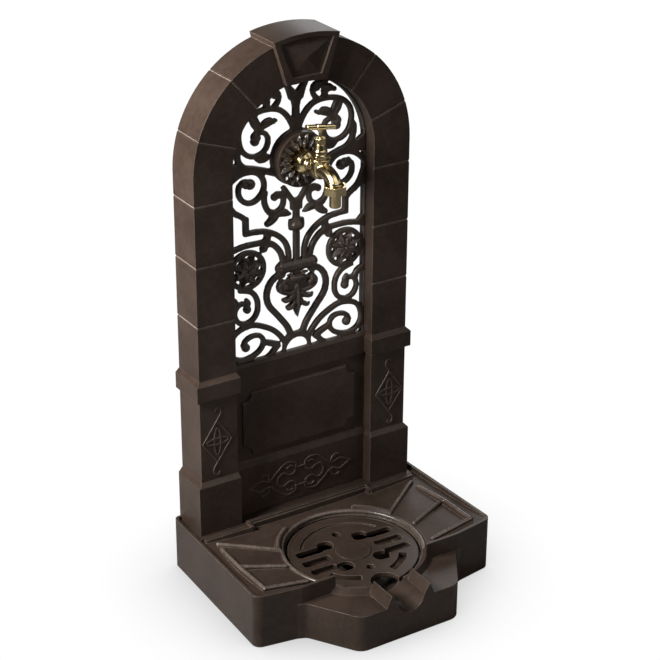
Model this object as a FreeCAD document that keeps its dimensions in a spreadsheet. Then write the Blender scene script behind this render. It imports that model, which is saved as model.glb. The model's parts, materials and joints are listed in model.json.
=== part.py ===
import FreeCAD, Part
import math
import os
import Sketcher

os.makedirs("parts", exist_ok=True)

vec = FreeCAD.Vector
doc = FreeCAD.newDocument("garden_fountain")
sheet = doc.addObject("Spreadsheet::Sheet", "sizes")

# All sizes in millimetres, +Z up, +Y towards the back, floor at zero.
size_values = {
    # upright
    "front_y": 102.7,
    "frame_depth": 54.2,
    "foot_z": 69.5,
    "arch_outer": 162.0,
    "arch_inner": 106.2,
    "spring_z": 574.6,
    "wall": 5.0,
    "inner_leg": 26.0,
    "groove_depth": 1.6,
    "groove_width": 3.2,
    "collar_low": 270.7,
    "collar_high": 293.3,
    "collar_half": 167.7,
    "collar_step": 5.4,
    "collar_slope": 5.6,
    "collar_inner": 103.0,
    "plinth_high": 142.0,
    "plinth_half": 167.9,
    "plinth_inner": 104.0,
    "plinth_step": 4.4,
    "plinth_slope": 6.9,
    "key_top_half": 48.1,
    "key_low_half": 29.7,
    "key_top_z": 737.6,
    "key_crown_z": 743.4,
    "key_low_z": 679.6,
    "key_step": 6.3,
    "key_field_depth": 3.0,
    # lower panel
    "panel_gap": 0.4,
    "panel_step": 13.5,
    "field_step": 17.5,
    "panel_skin": 4.0,
    "rail_low": 268.0,
    "panel_top": 299.0,
    "panel_skin_top": 287.6,
    "ledge_low": 142.0,
    "ledge_high": 151.0,
    "plaque_half": 89.5,
    "plaque_low": 160.0,
    "plaque_high": 255.0,
    "plaque_notch": 14.0,
    "scroll_height": 1.2,
    # grille
    "grille_front": 19.3,
    "grille_bar": 6.0,
    "grille_gap": 0.4,
    "grille_band": 1.6,
    "flange_gap": 0.3,
    "flange_thick": 4.0,
    "flange_reach": 127.0,
    "flange_low": 285.0,
    "boss_x": 120.5,
    "boss_radius": 5.5,
    # rosette
    "rosette_z": 573.0,
    "rosette_radius": 37.0,
    "rosette_front": 4.0,
    "petal_height": 1.8,
    # base
    "base_rear_half": 178.5,
    "base_front_half": 186.0,
    "wing_front_y": -180.5,
    "wing_root_y": -190.8,
    "root_half": 122.7,
    "bulge_front_y": -259.6,
    "bulge_half": 75.0,
    "bulge_z": 52.5,
    "rim_rear_z": 73.5,
    "rim_front_z": 77.0,
    "rim_width": 4.0,
    "base_wall": 5.0,
    "deck_drop": 4.5,
    "ring_y": -121.5,
    "ring_z": 61.0,
    "ring_lip": 100.0,
    "ring_bore": 91.5,
    "ring_foot": 111.0,
    "seat_radius": 84.0,
    "bowl_outer": 97.0,
    "bowl_floor_z": 31.0,
    "trough_radius": 21.0,
    "cheek_half": 29.7,
    "cheek_foot_half": 37.5,
    "cheek_z": 69.5,
    "lip_z": 36.5,
    # grate
    "grate_radius": 88.8,
    "grate_top": 55.0,
    "grate_thick": 6.0,
    "grate_turn": -2.6,
    # drain
    "drain_hole": 12.4,
    "drain_tube": 12.0,
    "drain_bore": 9.0,
    # tap
    "tap_z": 573.0,
    "spindle_y": -37.0,
    "tube_radius": 10.48,
    "tube_hole": 11.0,
    "tube_bore": 6.5,
    "hexagon_flat": 31.0,
    "hexagon_length": 15.0,
    "barrel_radius": 12.0,
    "chamber_radius": 9.0,
    "seat_z": 581.0,
    "seat_bore": 5.0,
    "bonnet_low": 588.0,
    "spindle_radius": 3.0,
    "spindle_gap": 0.05,
    "handle_z": 630.0,
    "handle_half": 18.0,
    "handle_angle": -26.0,
    "handle_radius": 4.0,
    "outlet_y": -72.0,
    "outlet_z": 566.0,
    "outlet_radius": 9.0,
    "tail_radius": 7.5,
    "tail_bore": 4.8,
    "tail_low": 534.7,
    "nut_low": 553.0,
    "nut_high": 564.0,
    # fasteners
    "screw_radius": 2.0,
    "screw_head": 4.2,
    "bolt_radius": 4.0,
    "bolt_hole": 4.3,
    "bolt_flat": 13.0,
}
for row, alias in enumerate(size_values, 1):
    sheet.set(f"A{row}", alias)
    sheet.set(f"B{row}", str(size_values[alias]))
    sheet.setAlias(f"B{row}", alias)
doc.recompute()


class Size:
    # A number together with the spreadsheet formula that gives it.
    def __init__(self, value, text):
        self.value = value
        self.text = text

    def __float__(self):
        return float(self.value)

    def __add__(self, other):
        other = as_size(other)
        return Size(self.value + other.value, f"({self.text} + {other.text})")

    def __sub__(self, other):
        other = as_size(other)
        return Size(self.value - other.value, f"({self.text} - {other.text})")

    def __rsub__(self, other):
        return as_size(other) - self

    def __mul__(self, other):
        other = as_size(other)
        return Size(self.value * other.value, f"({self.text} * {other.text})")

    def __truediv__(self, other):
        other = as_size(other)
        return Size(self.value / other.value, f"({self.text} / {other.text})")

    def __neg__(self):
        return as_size(0) - self

    __radd__ = __add__
    __rmul__ = __mul__


def as_size(value):
    return value if isinstance(value, Size) else Size(float(value), f"{float(value):.4f}")


def val(alias):
    return Size(float(sheet.get(alias)), f"sizes.{alias}")


def num(alias):
    return float(sheet.get(alias))


turns = {
    "z": FreeCAD.Rotation(),
    "-z": FreeCAD.Rotation(vec(1, 0, 0), 180),
    "y": FreeCAD.Rotation(vec(1, 0, 0), -90),
    "-y": FreeCAD.Rotation(vec(1, 0, 0), 90),
    "x": FreeCAD.Rotation(vec(0, 1, 0), 90),
}


def bind(obj, prop, size):
    size = as_size(size)
    setattr(obj, prop, size.value)
    obj.setExpression(prop, size.text)


def place(obj, x, y, z, turn=None):
    obj.Placement = FreeCAD.Placement(vec(float(x), float(y), float(z)), turn or FreeCAD.Rotation())
    for axis, size in (("x", x), ("y", y), ("z", z)):
        if isinstance(size, Size):
            obj.setExpression("Placement.Base." + axis, size.text)
    return obj


def box(name, x0, x1, y0, y1, z0, z1):
    obj = doc.addObject("Part::Box", name)
    bind(obj, "Length", as_size(x1) - x0)
    bind(obj, "Width", as_size(y1) - y0)
    bind(obj, "Height", as_size(z1) - z0)
    return place(obj, as_size(x0), as_size(y0), as_size(z0))


def rod(name, radius, length, x, y, z, way="z"):
    obj = doc.addObject("Part::Cylinder", name)
    bind(obj, "Radius", radius)
    bind(obj, "Height", length)
    return place(obj, as_size(x), as_size(y), as_size(z), turns[way])


def hexagon(name, flat, length, x, y, z, way="z"):
    obj = doc.addObject("Part::Prism", name)
    obj.Polygon = 6
    bind(obj, "Circumradius", as_size(flat) / math.sqrt(3))
    bind(obj, "Height", length)
    return place(obj, as_size(x), as_size(y), as_size(z), turns[way])


def frustum(name, low, high, z0, z1):
    # a block whose rectangle (x0, x1, y0, y1) changes from low to high on the way up
    obj = doc.addObject("Part::Wedge", name)
    bind(obj, "Ymin", 0)
    bind(obj, "Ymax", as_size(z1) - z0)
    bind(obj, "Xmin", low[0])
    bind(obj, "Xmax", low[1])
    bind(obj, "Zmin", -as_size(low[3]))
    bind(obj, "Zmax", -as_size(low[2]))
    bind(obj, "X2min", high[0])
    bind(obj, "X2max", high[1])
    bind(obj, "Z2min", -as_size(high[3]))
    bind(obj, "Z2max", -as_size(high[2]))
    return place(obj, 0, 0, as_size(z0), FreeCAD.Rotation(vec(1, 0, 0), 90))


def origin_plane(body, role):
    for item in body.Origin.OriginFeatures:
        if item.Role == role:
            return item
    raise ValueError(role)


def outline_sketch(body, role, outline):
    # outline: corners (a, b); (a, b, c, d) is reached by an arc through (c, d)
    sketch = body.newObject("Sketcher::SketchObject", body.Name + "_outline")
    sketch.AttachmentSupport = [(origin_plane(body, role), "")]
    sketch.MapMode = "FlatFace"
    count = len(outline)
    for i in range(count):
        a = outline[i - 1]
        b = outline[i]
        start = vec(float(a[0]), float(a[1]), 0)
        end = vec(float(b[0]), float(b[1]), 0)
        if len(b) == 4:
            sketch.addGeometry(Part.Arc(start, vec(float(b[2]), float(b[3]), 0), end), False)
        else:
            sketch.addGeometry(Part.LineSegment(start, end), False)
    return sketch


def slab(name, outline, y0, depth):
    # an outline in X and Z, made solid from y0 backwards
    body = doc.addObject("PartDesign::Body", name)
    sketch = outline_sketch(body, "XZ_Plane", outline)
    pad = body.newObject("PartDesign::Pad", name + "_pad")
    pad.Profile = sketch
    bind(pad, "Length", depth)
    return place(body, 0, as_size(y0) + depth, 0)


def turned(name, outline, x, y, z, way="z"):
    # a half section (radius, height), turned once about its own axis
    body = doc.addObject("PartDesign::Body", name)
    sketch = outline_sketch(body, "XZ_Plane", outline)
    count = len(outline)
    for i in range(count):
        sketch.addConstraint(Sketcher.Constraint("Coincident", i, 2, (i + 1) % count, 1))
    for i, corner in enumerate(outline):
        for kind, axis, size in (("DistanceX", -2, corner[0]), ("DistanceY", -1, corner[1])):
            size = as_size(size)
            if abs(size.value) < 1e-9:
                sketch.addConstraint(Sketcher.Constraint("PointOnObject", i, 2, axis))
                continue
            index = sketch.addConstraint(Sketcher.Constraint(kind, -1, 1, i, 2, size.value))
            sketch.setExpression(f"Constraints[{index}]", size.text)
    turn = body.newObject("PartDesign::Revolution", name + "_turn")
    turn.Profile = sketch
    turn.ReferenceAxis = (sketch, ["V_Axis"])
    turn.Angle = 360
    return place(body, as_size(x), as_size(y), as_size(z), turns[way])


def fuse(name, parts):
    obj = doc.addObject("Part::MultiFuse", name)
    obj.Shapes = parts
    obj.Refine = True
    return obj


def cut(name, base, tools):
    tool = tools[0] if len(tools) == 1 else fuse(name + "_tools", tools)
    obj = doc.addObject("Part::Cut", name)
    obj.Base = base
    obj.Tool = tool
    obj.Refine = True
    return obj


def group(name, parts):
    obj = doc.addObject("Part::Compound", name)
    obj.Links = parts
    return obj


def shape_node(name, shape):
    obj = doc.addObject("Part::Feature", name)
    obj.Shape = shape
    obj.Placement = FreeCAD.Placement()
    return obj


nodes = []


def node(obj, label):
    obj.Label = label
    nodes.append(obj)
    return obj


front = val("front_y")
rear = front + val("frame_depth")
outer = val("arch_outer")
inner = val("arch_inner")
spring = val("spring_z")
wall = val("wall")
foot = val("foot_z")


def arch_outline(half, low):
    # a round-headed outline; its head is centred on the spring line
    return [(-half, low), (-half, spring), (half, spring, 0, spring + half), (half, low)]


# arch_surround: the hollow front casting, open at the back
ring_outline = arch_outline(outer, foot)
ring = slab("ring", ring_outline, front, val("frame_depth"))
opening = slab("ring_opening", arch_outline(inner, foot - 5), front - 10, val("frame_depth") + 20)
blocks = [ring]
for side in (-1, 1):
    tag = "left" if side < 0 else "right"
    reach = val("collar_half")
    near = val("collar_inner")
    lo, hi = (-reach, -near) if side < 0 else (near, reach)
    low = (lo, hi, front - val("collar_step"), rear)
    edge = -outer if side < 0 else outer
    near = -inner if side < 0 else inner
    high = (edge, near, front, rear) if side < 0 else (near, edge, front, rear)
    blocks.append(box(f"collar_{tag}", lo, hi, low[2], rear, val("collar_low"), val("collar_high")))
    blocks.append(frustum(f"collar_slope_{tag}", low, high, val("collar_high"),
                          val("collar_high") + val("collar_slope")))
    plo, phi = (-val("plinth_half"), -inner) if side < 0 else (inner, val("plinth_half"))
    low = (plo, phi, front - val("plinth_step"), rear)
    blocks.append(box(f"plinth_{tag}", plo, phi, low[2], rear, foot, val("plinth_high")))
    blocks.append(frustum(f"plinth_slope_{tag}", low, high, val("plinth_high"),
                          val("plinth_high") + val("plinth_slope")))
key_outline = [
    (-val("key_low_half"), val("key_low_z")),
    (-val("key_top_half"), val("key_top_z")),
    (val("key_top_half"), val("key_top_z"), 0, val("key_crown_z")),
    (val("key_low_half"), val("key_low_z")),
]
key_front = front - val("key_step")
blocks.append(slab("keystone", key_outline, key_front, val("frame_depth") + val("key_step")))
solid = fuse("surround_solid", blocks)

# the opening below the keystone and between the pilasters
clear = [opening]
# the hollow behind the front skin
shell_outer = slab("hollow_outer", arch_outline(outer - wall, foot + 6), front + wall, val("frame_depth"))
shell_inner = slab("hollow_inner", arch_outline(inner + wall, foot - 5), front - 10, val("frame_depth") + 30)
ring_hollow = cut("ring_hollow", shell_outer, [shell_inner])
# the inner wall stops short, so that the flanges behind it have a seat
leg_outer = slab("leg_outer", arch_outline(inner + wall + 0.5, foot + 6), front + val("inner_leg"),
                 val("frame_depth"))
leg_cut = leg_outer
ribs = []
rib_depth = val("inner_leg") - wall
for side in (-1, 1):
    tag = "left" if side < 0 else "right"
    for number, height in enumerate((205.0, 375.5, 541.9)):
        x0 = side * 134.0 - 29.0
        ribs.append(box(f"rib_{tag}_{number}", x0, x0 + 58, front + wall - 1, front + val("inner_leg"),
                        height - 2, height + 2))
    for number, height in enumerate((95.0, 180.0, 258.0, 310.0, 440.0, 560.0)):
        ribs.append(rod(f"boss_{tag}_{number}", val("boss_radius"), rib_depth + 1,
                        side * val("boss_x"), front + wall - 1, height, "y"))
for number, angle in enumerate((38.0, 142.0)):
    x = math.cos(math.radians(angle)) * num("boss_x")
    z = num("spring_z") + math.sin(math.radians(angle)) * num("boss_x")
    ribs.append(rod(f"boss_head_{number}", val("boss_radius"), rib_depth + 1, x, front + wall - 1, z, "y"))
for number, angle in enumerate((19.0, 161.0)):
    rib = doc.addObject("Part::Box", f"rib_head_{number}")
    bind(rib, "Length", 62)
    bind(rib, "Width", rib_depth + 1)
    bind(rib, "Height", 4)
    c = math.cos(math.radians(angle))
    s = math.sin(math.radians(angle))
    spin = FreeCAD.Rotation(vec(0, 1, 0), -angle)
    place(rib, 104 * c, front + wall - 1, num("spring_z") + 104 * s, spin)
    ribs.append(rib)
rib_group = fuse("rib_group", ribs)
hollow = cut("hollow", ring_hollow, [rib_group])
clear.append(hollow)
clear.append(leg_cut)

# V-grooves at the joints between the stones, cut in front, outer side and reveal
groove = num("groove_width") / 2
depth = num("groove_depth")
for number, height in enumerate((375.5, 458.8, 541.9)):
    for side in (-1, 1):
        corners = [(-groove, 0), (0, depth), (groove, 0), (groove, -3), (-groove, -3)]
        body = doc.addObject("PartDesign::Body", f"groove_{number}_{'l' if side < 0 else 'r'}")
        sketch = outline_sketch(body, "YZ_Plane", [(b, a) for a, b in corners])
        pad = body.newObject("PartDesign::Pad", body.Name + "_pad")
        pad.Profile = sketch
        bind(pad, "Length", outer - inner + 6)
        x = -outer - 3 if side < 0 else inner - 3
        clear.append(place(body, x, front, height))
        body = slab(f"side_groove_{number}_{'l' if side < 0 else 'r'}",
                    [(side * (num("arch_outer") + a), height + b)
                     for a, b in ((0.5, -groove - 0.5), (-depth, 0), (0.5, groove + 0.5))],
                    front - 1, val("frame_depth") + 2)
        clear.append(body)
for number, angle in enumerate((18.8, 49.3, 130.7, 161.2)):
    for kind in ("front", "side"):
        body = doc.addObject("PartDesign::Body", f"head_{kind}_{number}")
        if kind == "front":
            corners = [(0, -groove), (depth, 0), (0, groove), (-3, groove), (-3, -groove)]
            sketch = outline_sketch(body, "YZ_Plane", corners)
            length = outer - inner + 6
        else:
            reach = num("arch_outer")
            corners = [(reach + 0.5, -groove - 0.5), (reach - depth, 0), (reach + 0.5, groove + 0.5)]
            sketch = outline_sketch(body, "XZ_Plane", corners)
            length = val("frame_depth") + 2
        pad = body.newObject("PartDesign::Pad", body.Name + "_pad")
        pad.Profile = sketch
        bind(pad, "Length", length)
        spin = FreeCAD.Rotation(vec(0, 1, 0), -angle)
        if kind == "front":
            start = spin.multVec(vec(num("arch_inner") - 3, 0, 0))
            place(body, start.x, front, start.z + spring.value, spin)
        else:
            place(body, 0, rear + 1, spring, spin)
        clear.append(body)

# the sunk field of the keystone, and screw and bolt holes
inset = 7.5
field = [
    (-num("key_low_half") + inset + 1, 688.0),
    (-num("key_top_half") + inset + 1.5, 733.0),
    (num("key_top_half") - inset - 1.5, 733.0, 0, 737.5),
    (num("key_low_half") - inset - 1, 688.0),
]
clear.append(slab("key_field", field, key_front - 1, val("key_field_depth") + 1))
for side in (-1, 1):
    for number, height in enumerate((95.0, 180.0, 258.0, 310.0, 440.0, 560.0)):
        clear.append(rod(f"screw_hole_{number}_{side + 1}", val("screw_radius") + 0.15, 14,
                         side * val("boss_x"), front + val("inner_leg") + 1, height, "-y"))
    clear.append(rod(f"bolt_hole_front_{side + 1}", val("bolt_hole"), 20, side * 146.0, front + 14, foot - 5))
    clear.append(rod(f"bolt_hole_rear_{side + 1}", val("bolt_hole"), 20, side * 134.0, front + 40, foot - 5))
for number, angle in enumerate((38.0, 142.0)):
    x = math.cos(math.radians(angle)) * num("boss_x")
    z = num("spring_z") + math.sin(math.radians(angle)) * num("boss_x")
    clear.append(rod(f"screw_hole_head_{number}", val("screw_radius") + 0.15, 14, x,
                     front + val("inner_leg") + 1, z, "-y"))
carved = cut("surround_carved", solid, clear)


def ridge(points, width, height, base_y):
    # a thin raised line on an upright face: a strip round a curve through the points
    return strip(points, width).extrude(vec(0, -height, 0)).translated(vec(0, base_y, 0))


def curve_through(points):
    curve = Part.BSplineCurve()
    curve.interpolate([vec(p[0], 0, p[1]) for p in points])
    return curve


def strip(points, width, width_end=None):
    # a flat band of the given width along a smooth curve, in the XZ plane
    width_end = width if width_end is None else width_end
    curve = curve_through(points)
    count = 1 if len(points) == 2 else 2 * (len(points) - 1)
    left = []
    right = []
    first = curve.FirstParameter
    span = curve.LastParameter - first
    for i in range(count + 1):
        u = first + span * i / count
        point = curve.value(u)
        tangent = curve.tangent(u)[0]
        half = (width + (width_end - width) * i / count) / 2
        side = vec(-tangent.z, 0, tangent.x) * half
        left.append(point + side)
        right.append(point - side)
    right.reverse()
    return Part.Face(Part.makePolygon(left + right + [left[0]]))


def disc(x, z, radius):
    return Part.Face(Part.Wire(Part.makeCircle(radius, vec(x, 0, z), vec(0, 1, 0))))


def flat_polygon(points):
    points = [vec(x, 0, z) for x, z in points]
    return Part.Face(Part.makePolygon(points + [points[0]]))


def flip(shape):
    return shape.mirror(vec(0, 0, 0), vec(1, 0, 0))


def joined(shapes):
    return shapes[0].multiFuse(shapes[1:]).removeSplitter()


# keystone pyramid, pilaster ornament and the raised scrolls of the frieze
apex = vec(0, num("front_y") - num("key_step") - 0.4, 712)
field_y = num("front_y") - num("key_step") + num("key_field_depth") + 0.5
low_x = num("key_low_half") - inset - 2.2
high_x = num("key_top_half") - inset - 3.2
corners = [vec(-low_x, field_y, 689.5), vec(-high_x, field_y, 731.5), vec(high_x, field_y, 731.5),
           vec(low_x, field_y, 689.5)]
faces = [Part.Face(Part.makePolygon(corners + [corners[0]]))]
for i in range(4):
    faces.append(Part.Face(Part.makePolygon([corners[i - 1], corners[i], apex, corners[i - 1]])))
pyramid = Part.Solid(Part.Shell(faces))
if pyramid.Volume < 0:
    pyramid.reverse()


def ellipse_line(x, z, a, b, width, height, y):
    # a ring of even width about an ellipse
    rims = []
    for grow in (width / 2, -width / 2):
        points = []
        for i in range(25):
            angle = math.radians(15 * i)
            points.append(vec(x + (a + grow) * math.cos(angle), y, z + (b + grow) * math.sin(angle)))
        rims.append(Part.Face(Part.makePolygon(points)))
    ring_face = rims[0].cut(rims[1])
    return ring_face.extrude(vec(0, -height, 0))


def pilaster_marks(side):
    # a lozenge with two hooked ends and two crossed ellipses
    x0 = side * -136.8
    z0 = 205.5
    y = num("front_y") + 0.3
    w = 2.0
    h = 1.2 + 0.3
    half = 21.8
    rise = 31.0
    made = []
    for turn in (1, -1):
        m = side * turn
        made.append(ridge([(x0 - m * half, z0), (x0, z0 + turn * rise)], w, h, y))
        made.append(ridge([(x0 + m * half, z0), (x0, z0 + turn * rise)], w * 0.8, h, y))
        hook = [(-0.7, 30), (3.5, 36.3), (6.2, 41.5), (5.6, 47), (2.2, 50.2), (-1.5, 48.8), (-2.0, 45.5)]
        made.append(ridge([(x0 + m * a, z0 + turn * b) for a, b in hook], w, h, y))
    made.append(ellipse_line(x0, z0, 17, 4.8, w, h, y))
    made.append(ellipse_line(x0, z0, 4.9, 20, w * 0.8, h, y))
    return made


marks = [pyramid] + pilaster_marks(1) + pilaster_marks(-1)
marks_object = shape_node("surround_marks", marks[0].multiFuse(marks[1:]))
# collars and plinths stand a little into the opening
lips = []
lip_back = front + val("panel_step") - 0.4
for side in (-1, 1):
    tag = "left" if side < 0 else "right"
    for kind, step, low_z, high_z, slope in (
        ("collar", val("collar_step"), val("collar_low"), val("collar_high"), val("collar_slope")),
        ("plinth", val("plinth_step"), foot, val("plinth_high"), val("plinth_slope")),
    ):
        reach = val(kind + "_inner")
        lo, hi = (-inner - 1.5, -reach) if side < 0 else (reach, inner + 1.5)
        end, start = (-inner - 1.5, -inner) if side < 0 else (inner, inner + 1.5)
        lips.append(box(f"{kind}_lip_{tag}", lo, hi, front - step, lip_back, low_z, high_z))
        lips.append(frustum(f"{kind}_lip_slope_{tag}", (lo, hi, front - step, lip_back),
                            (end, start, front, lip_back), high_z, high_z + slope))
node(fuse("surround", [carved, marks_object] + lips), "arch_surround")

# lower_panel: plaque, frieze and ledges between the pilasters
half = inner - val("panel_gap")
skin = front + val("field_step")
skin_back = skin + val("panel_skin")
parts = [
    box("panel_skin_plate", -half, half, skin, skin_back, foot + 0.3, val("panel_skin_top")),
    box("panel_rail", -half, half, front + val("panel_step"), skin + 1,
        val("rail_low"), val("panel_top") - 4),
    frustum("panel_rail_slope", (-half, half, front + val("panel_step"), skin + 1),
            (-half, half, front + val("panel_step") + 3, skin + 1), val("panel_top") - 4, val("panel_top")),
    box("panel_frieze", -half, half, front + val("panel_step"), skin + 1, foot + 0.3, val("ledge_low")),
    frustum("panel_ledge", (-half, half, front + val("panel_step"), skin + 1),
            (-half, half, skin - 0.2, skin + 1), val("ledge_low"), val("ledge_high")),
]
n = val("plaque_notch")
ph = val("plaque_half")
pl = val("plaque_low")
pt = val("plaque_high")
q = math.sqrt(0.5)
plaque_outline = [
    (-ph, pt - n),
    (-ph + n, pt, -ph + n * q, pt - n * q),
    (ph - n, pt),
    (ph, pt - n, ph - n * q, pt - n * q),
    (ph, pl + n),
    (ph - n, pl, ph - n * q, pl + n * q),
    (-ph + n, pl),
    (-ph, pl + n, -ph + n * q, pl + n * q),
]
plaque = doc.addObject("PartDesign::Body", "plaque")
sketch = outline_sketch(plaque, "XZ_Plane", plaque_outline)
pad = plaque.newObject("PartDesign::Pad", "plaque_pad")
pad.Profile = sketch
bind(pad, "Length", val("field_step") - val("panel_step"))
doc.recompute()
top_face = [f"Face{i + 1}" for i, face in enumerate(pad.Shape.Faces)
            if abs(face.CenterOfMass.y - min(v.Y for v in pad.Shape.Vertexes)) < 1e-6]
bevel = plaque.newObject("PartDesign::Chamfer", "plaque_bevel")
bevel.Base = (pad, top_face)
bevel.Size = 1.5
place(plaque, 0, skin + 0.3, 0)
parts.append(plaque)
leg_y = front + val("inner_leg") + val("flange_gap")
for side in (-1, 1):
    tag = "left" if side < 0 else "right"
    x0, x1 = (-half, -half + 5) if side < 0 else (half - 5, half)
    parts.append(box(f"panel_leg_{tag}", x0, x1, skin + 1, leg_y + val("flange_thick"), foot + 8, 282))
    x0, x1 = (-val("flange_reach"), -half + 5) if side < 0 else (half - 5, val("flange_reach"))
    parts.append(box(f"panel_flange_{tag}", x0, x1, leg_y, leg_y + val("flange_thick"), foot + 8, 282))
panel_body = fuse("panel_body", parts)
holes = []
for side in (-1, 1):
    for number, height in enumerate((95.0, 180.0, 258.0)):
        holes.append(rod(f"panel_hole_{number}_{side + 1}", val("screw_radius") + 0.25, 20,
                         side * val("boss_x"), leg_y - 5, height, "y"))
panel_cut = cut("panel_cut", panel_body, holes)

frieze_y = num("front_y") + num("panel_step") + 0.3
frieze_h = num("scroll_height") + 0.3
frieze_lines = [
    [(82.5, 0), (72, 5), (66, 8), (60, 7.5), (52, 4), (42, 11), (32, 20), (24, 25), (16, 25), (9, 22)],
    [(52, 4), (50, 9), (54, 15), (61, 16.5), (64, 14)],
    [(9, 22), (7, 18), (9, 13)],
    [(37, 0), (35, 7), (29, 10.5), (23, 8), (17, 5), (11, 7), (8, 10)],
    [(12, 17), (17, 19.5), (22, 16)],
    [(0, 14), (5, 14.5), (9, 13)],
]
lines = []
for line in frieze_lines:
    for sx in (-1, 1):
        for sz in (-1, 1):
            lines.append(ridge([(sx * x, 106 + sz * z) for x, z in line], 2.0, frieze_h, frieze_y))
frieze_object = shape_node("frieze_scrolls", lines[0].multiFuse(lines[1:]))
node(fuse("panel", [panel_cut, frieze_object]), "lower_panel")

# scroll_grille: one openwork casting of bars, curls and leaves
bar = 7.0
right_strokes = [
    # fans from the trumpet to the rosette, and the hook scroll below it
    ([(0, 506), (7, 515), (13, 524), (20, 535)], 7.5, 6),
    ([(46, 535), (48, 520), (44, 508), (36, 500), (30, 502)], bar, bar),
    ([(40, 505), (30, 502), (22, 507), (19, 515), (21, 523), (27, 527), (33, 524)], 7, 6),
    ([(34, 503), (37, 495), (44, 488)], 8, 7),
    ([(34, 500), (24, 497), (12, 495)], 7, 3),
    # upper stem branch and the bud under the arch
    ([(0, 640), (5, 655), (11, 666), (18, 682)], 9, 7),
    ([(33, 645), (26, 652), (25, 660), (30, 666), (37, 665), (39, 659)], 6.5, 4.5),
    ([(43, 645), (43, 658), (44, 674)], 8, 7),
    ([(40, 651), (49, 655), (57, 654)], 7, 5),
    # large upper scroll
    ([(4, 612), (12, 628), (25, 640), (45, 643.5), (62, 641), (75, 634), (83, 622), (84, 608),
      (80, 595), (70, 586), (58, 584), (48, 588), (42, 597), (42, 607), (48, 614), (57, 614),
      (62, 608)], bar, 6),
    ([(63, 639), (58, 628), (52, 618)], 8, 8),
    ([(52, 622), (42, 624), (31, 627)], 9, 4),
    # link bars at the right of the upper scroll
    ([(84, 606), (88, 590), (85, 575), (90, 566)], bar, bar),
    ([(60, 586), (54, 578), (44, 580)], 8, 9),
    ([(30, 555), (50, 563), (62, 567), (78, 570.5), (92, 568), (105.5, 566)], 8, 8),
    ([(72, 570), (84, 580), (86, 594)], 6, 6),
    ([(92, 572), (100, 577), (105.5, 580)], 12, 12),
    # second scroll
    ([(105.5, 547), (97, 556), (85, 563), (72, 565), (58, 561), (50, 552), (48, 540), (55, 528),
      (68, 522), (80, 527), (86, 538), (84, 549), (76, 553), (69, 549)], bar, 6.5),
    ([(105.5, 540), (101, 527), (92, 513), (82, 506), (76, 500)], bar, bar),
    ([(105.5, 520), (97, 516), (88, 509)], 7, 7),
    # stepped bar down to the collar
    ([(76, 504), (76, 481)], 8, 8),
    ([(79.5, 481), (60, 480.5), (50, 479), (35, 473), (24.5, 465.5), (17, 456.5), (13, 446),
      (12, 428)], bar, bar),
    # inner arch, link and side bar
    ([(20, 424), (21, 432), (24, 443), (30, 452), (38, 459), (48, 460)], bar, 8),
    ([(43, 476), (45, 465), (46, 456)], 9, 9),
    ([(42, 465), (60, 464), (75, 464.5), (90, 462.5), (105.5, 458.5)], bar, bar),
    ([(99, 461), (105.8, 467)], 12, 14),
    # S scroll under the daisy ring
    ([(88, 404), (80, 402), (70, 398), (62, 388), (59.5, 376), (62, 364), (70, 356), (79, 354),
      (88, 357), (94, 366), (93.5, 377), (87, 383.5), (79, 383), (74.5, 377)], bar, 6),
    ([(92, 380), (95, 390), (105.5, 395)], 8, 8),
    # bottom volute
    ([(16, 308), (24, 321), (38, 335.5), (54, 344.5), (64, 348.5), (80, 348.5), (96, 341),
      (102, 329), (102, 316), (95, 306), (85, 302), (72, 303), (60, 308), (52.5, 317), (52.5, 326),
      (58, 332), (68, 333.5), (78, 330), (83, 323), (79, 317)], bar, 6),
    ([(28, 310), (40, 316), (53, 321)], 9, 7),
    ([(28, 312), (36, 304), (44, 297)], 8, 6),
    # heart
    ([(18, 411), (33, 410), (42, 401), (46, 388), (43.5, 373), (34, 360), (23, 346), (14, 333),
      (8, 318), (2, 306)], 8, 8),
    # pendant leaves
    ([(4, 396), (14, 388), (23, 388), (27, 394), (24, 400), (18, 399)], 8, 8),
    ([(2, 384), (11, 375), (20, 374)], 9, 5),
    ([(2, 372), (8, 364), (14, 362)], 8, 5),
]
right_discs = [
    (26, 523, 3), (33, 523, 4.6), (44, 488, 3.6), (12, 495, 1.6), (31, 660, 4.8), (57, 654, 3.2),
    (61, 604, 5.6), (31, 627, 2.6), (44, 580, 4.5), (69, 548, 6.8), (50, 455, 5.2), (76, 374, 5.2),
    (79, 319, 5.6), (44, 298, 3), (20, 395, 5.5), (20, 374, 2.5), (14, 362, 2.5), (90, 568, 6),
    (18, 420, 5), (43, 672, 4), (25, 405, 2),
]
middle = [
    strip([(0, 424), (0, 510)], 8),
    strip([(0, 600), (0, 646)], 12, 9),
    flat_polygon([(-10.5, 472), (10.5, 472), (11.5, 480), (10.5, 487), (-10.5, 487), (-11.5, 480)]),
    flat_polygon([(-8, 500), (8, 500), (9, 516), (-9, 516)]),
    flat_polygon([(-10, 650), (10, 650), (16, 670), (-16, 670)]),
    flat_polygon([(-14, 394), (14, 394), (14, 405), (-14, 405)]),
    flat_polygon([(-9, 400), (9, 400), (9, 416), (-9, 416)]),
    flat_polygon([(0, 346), (5, 358), (7, 372), (8, 398), (-8, 398), (-7, 372), (-5, 358)]),
    flat_polygon([(-24, 413.6), (24, 413.6), (24, 428.4), (-24, 428.4)]),
    flat_polygon([(-22, 300), (22, 300), (20, 318), (8, 324), (-8, 324), (-20, 318)]),
    flat_polygon([(-105.8, 288), (105.8, 288), (105.8, 299), (-105.8, 299)]),
    disc(0, num("rosette_z"), 38),
    disc(24, 421, 7.5),
    disc(-24, 421, 7.5),
]
flat = list(middle)
for points, start, end in right_strokes:
    face = strip(points, start, end)
    flat.append(face)
    flat.append(flip(face))
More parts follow.
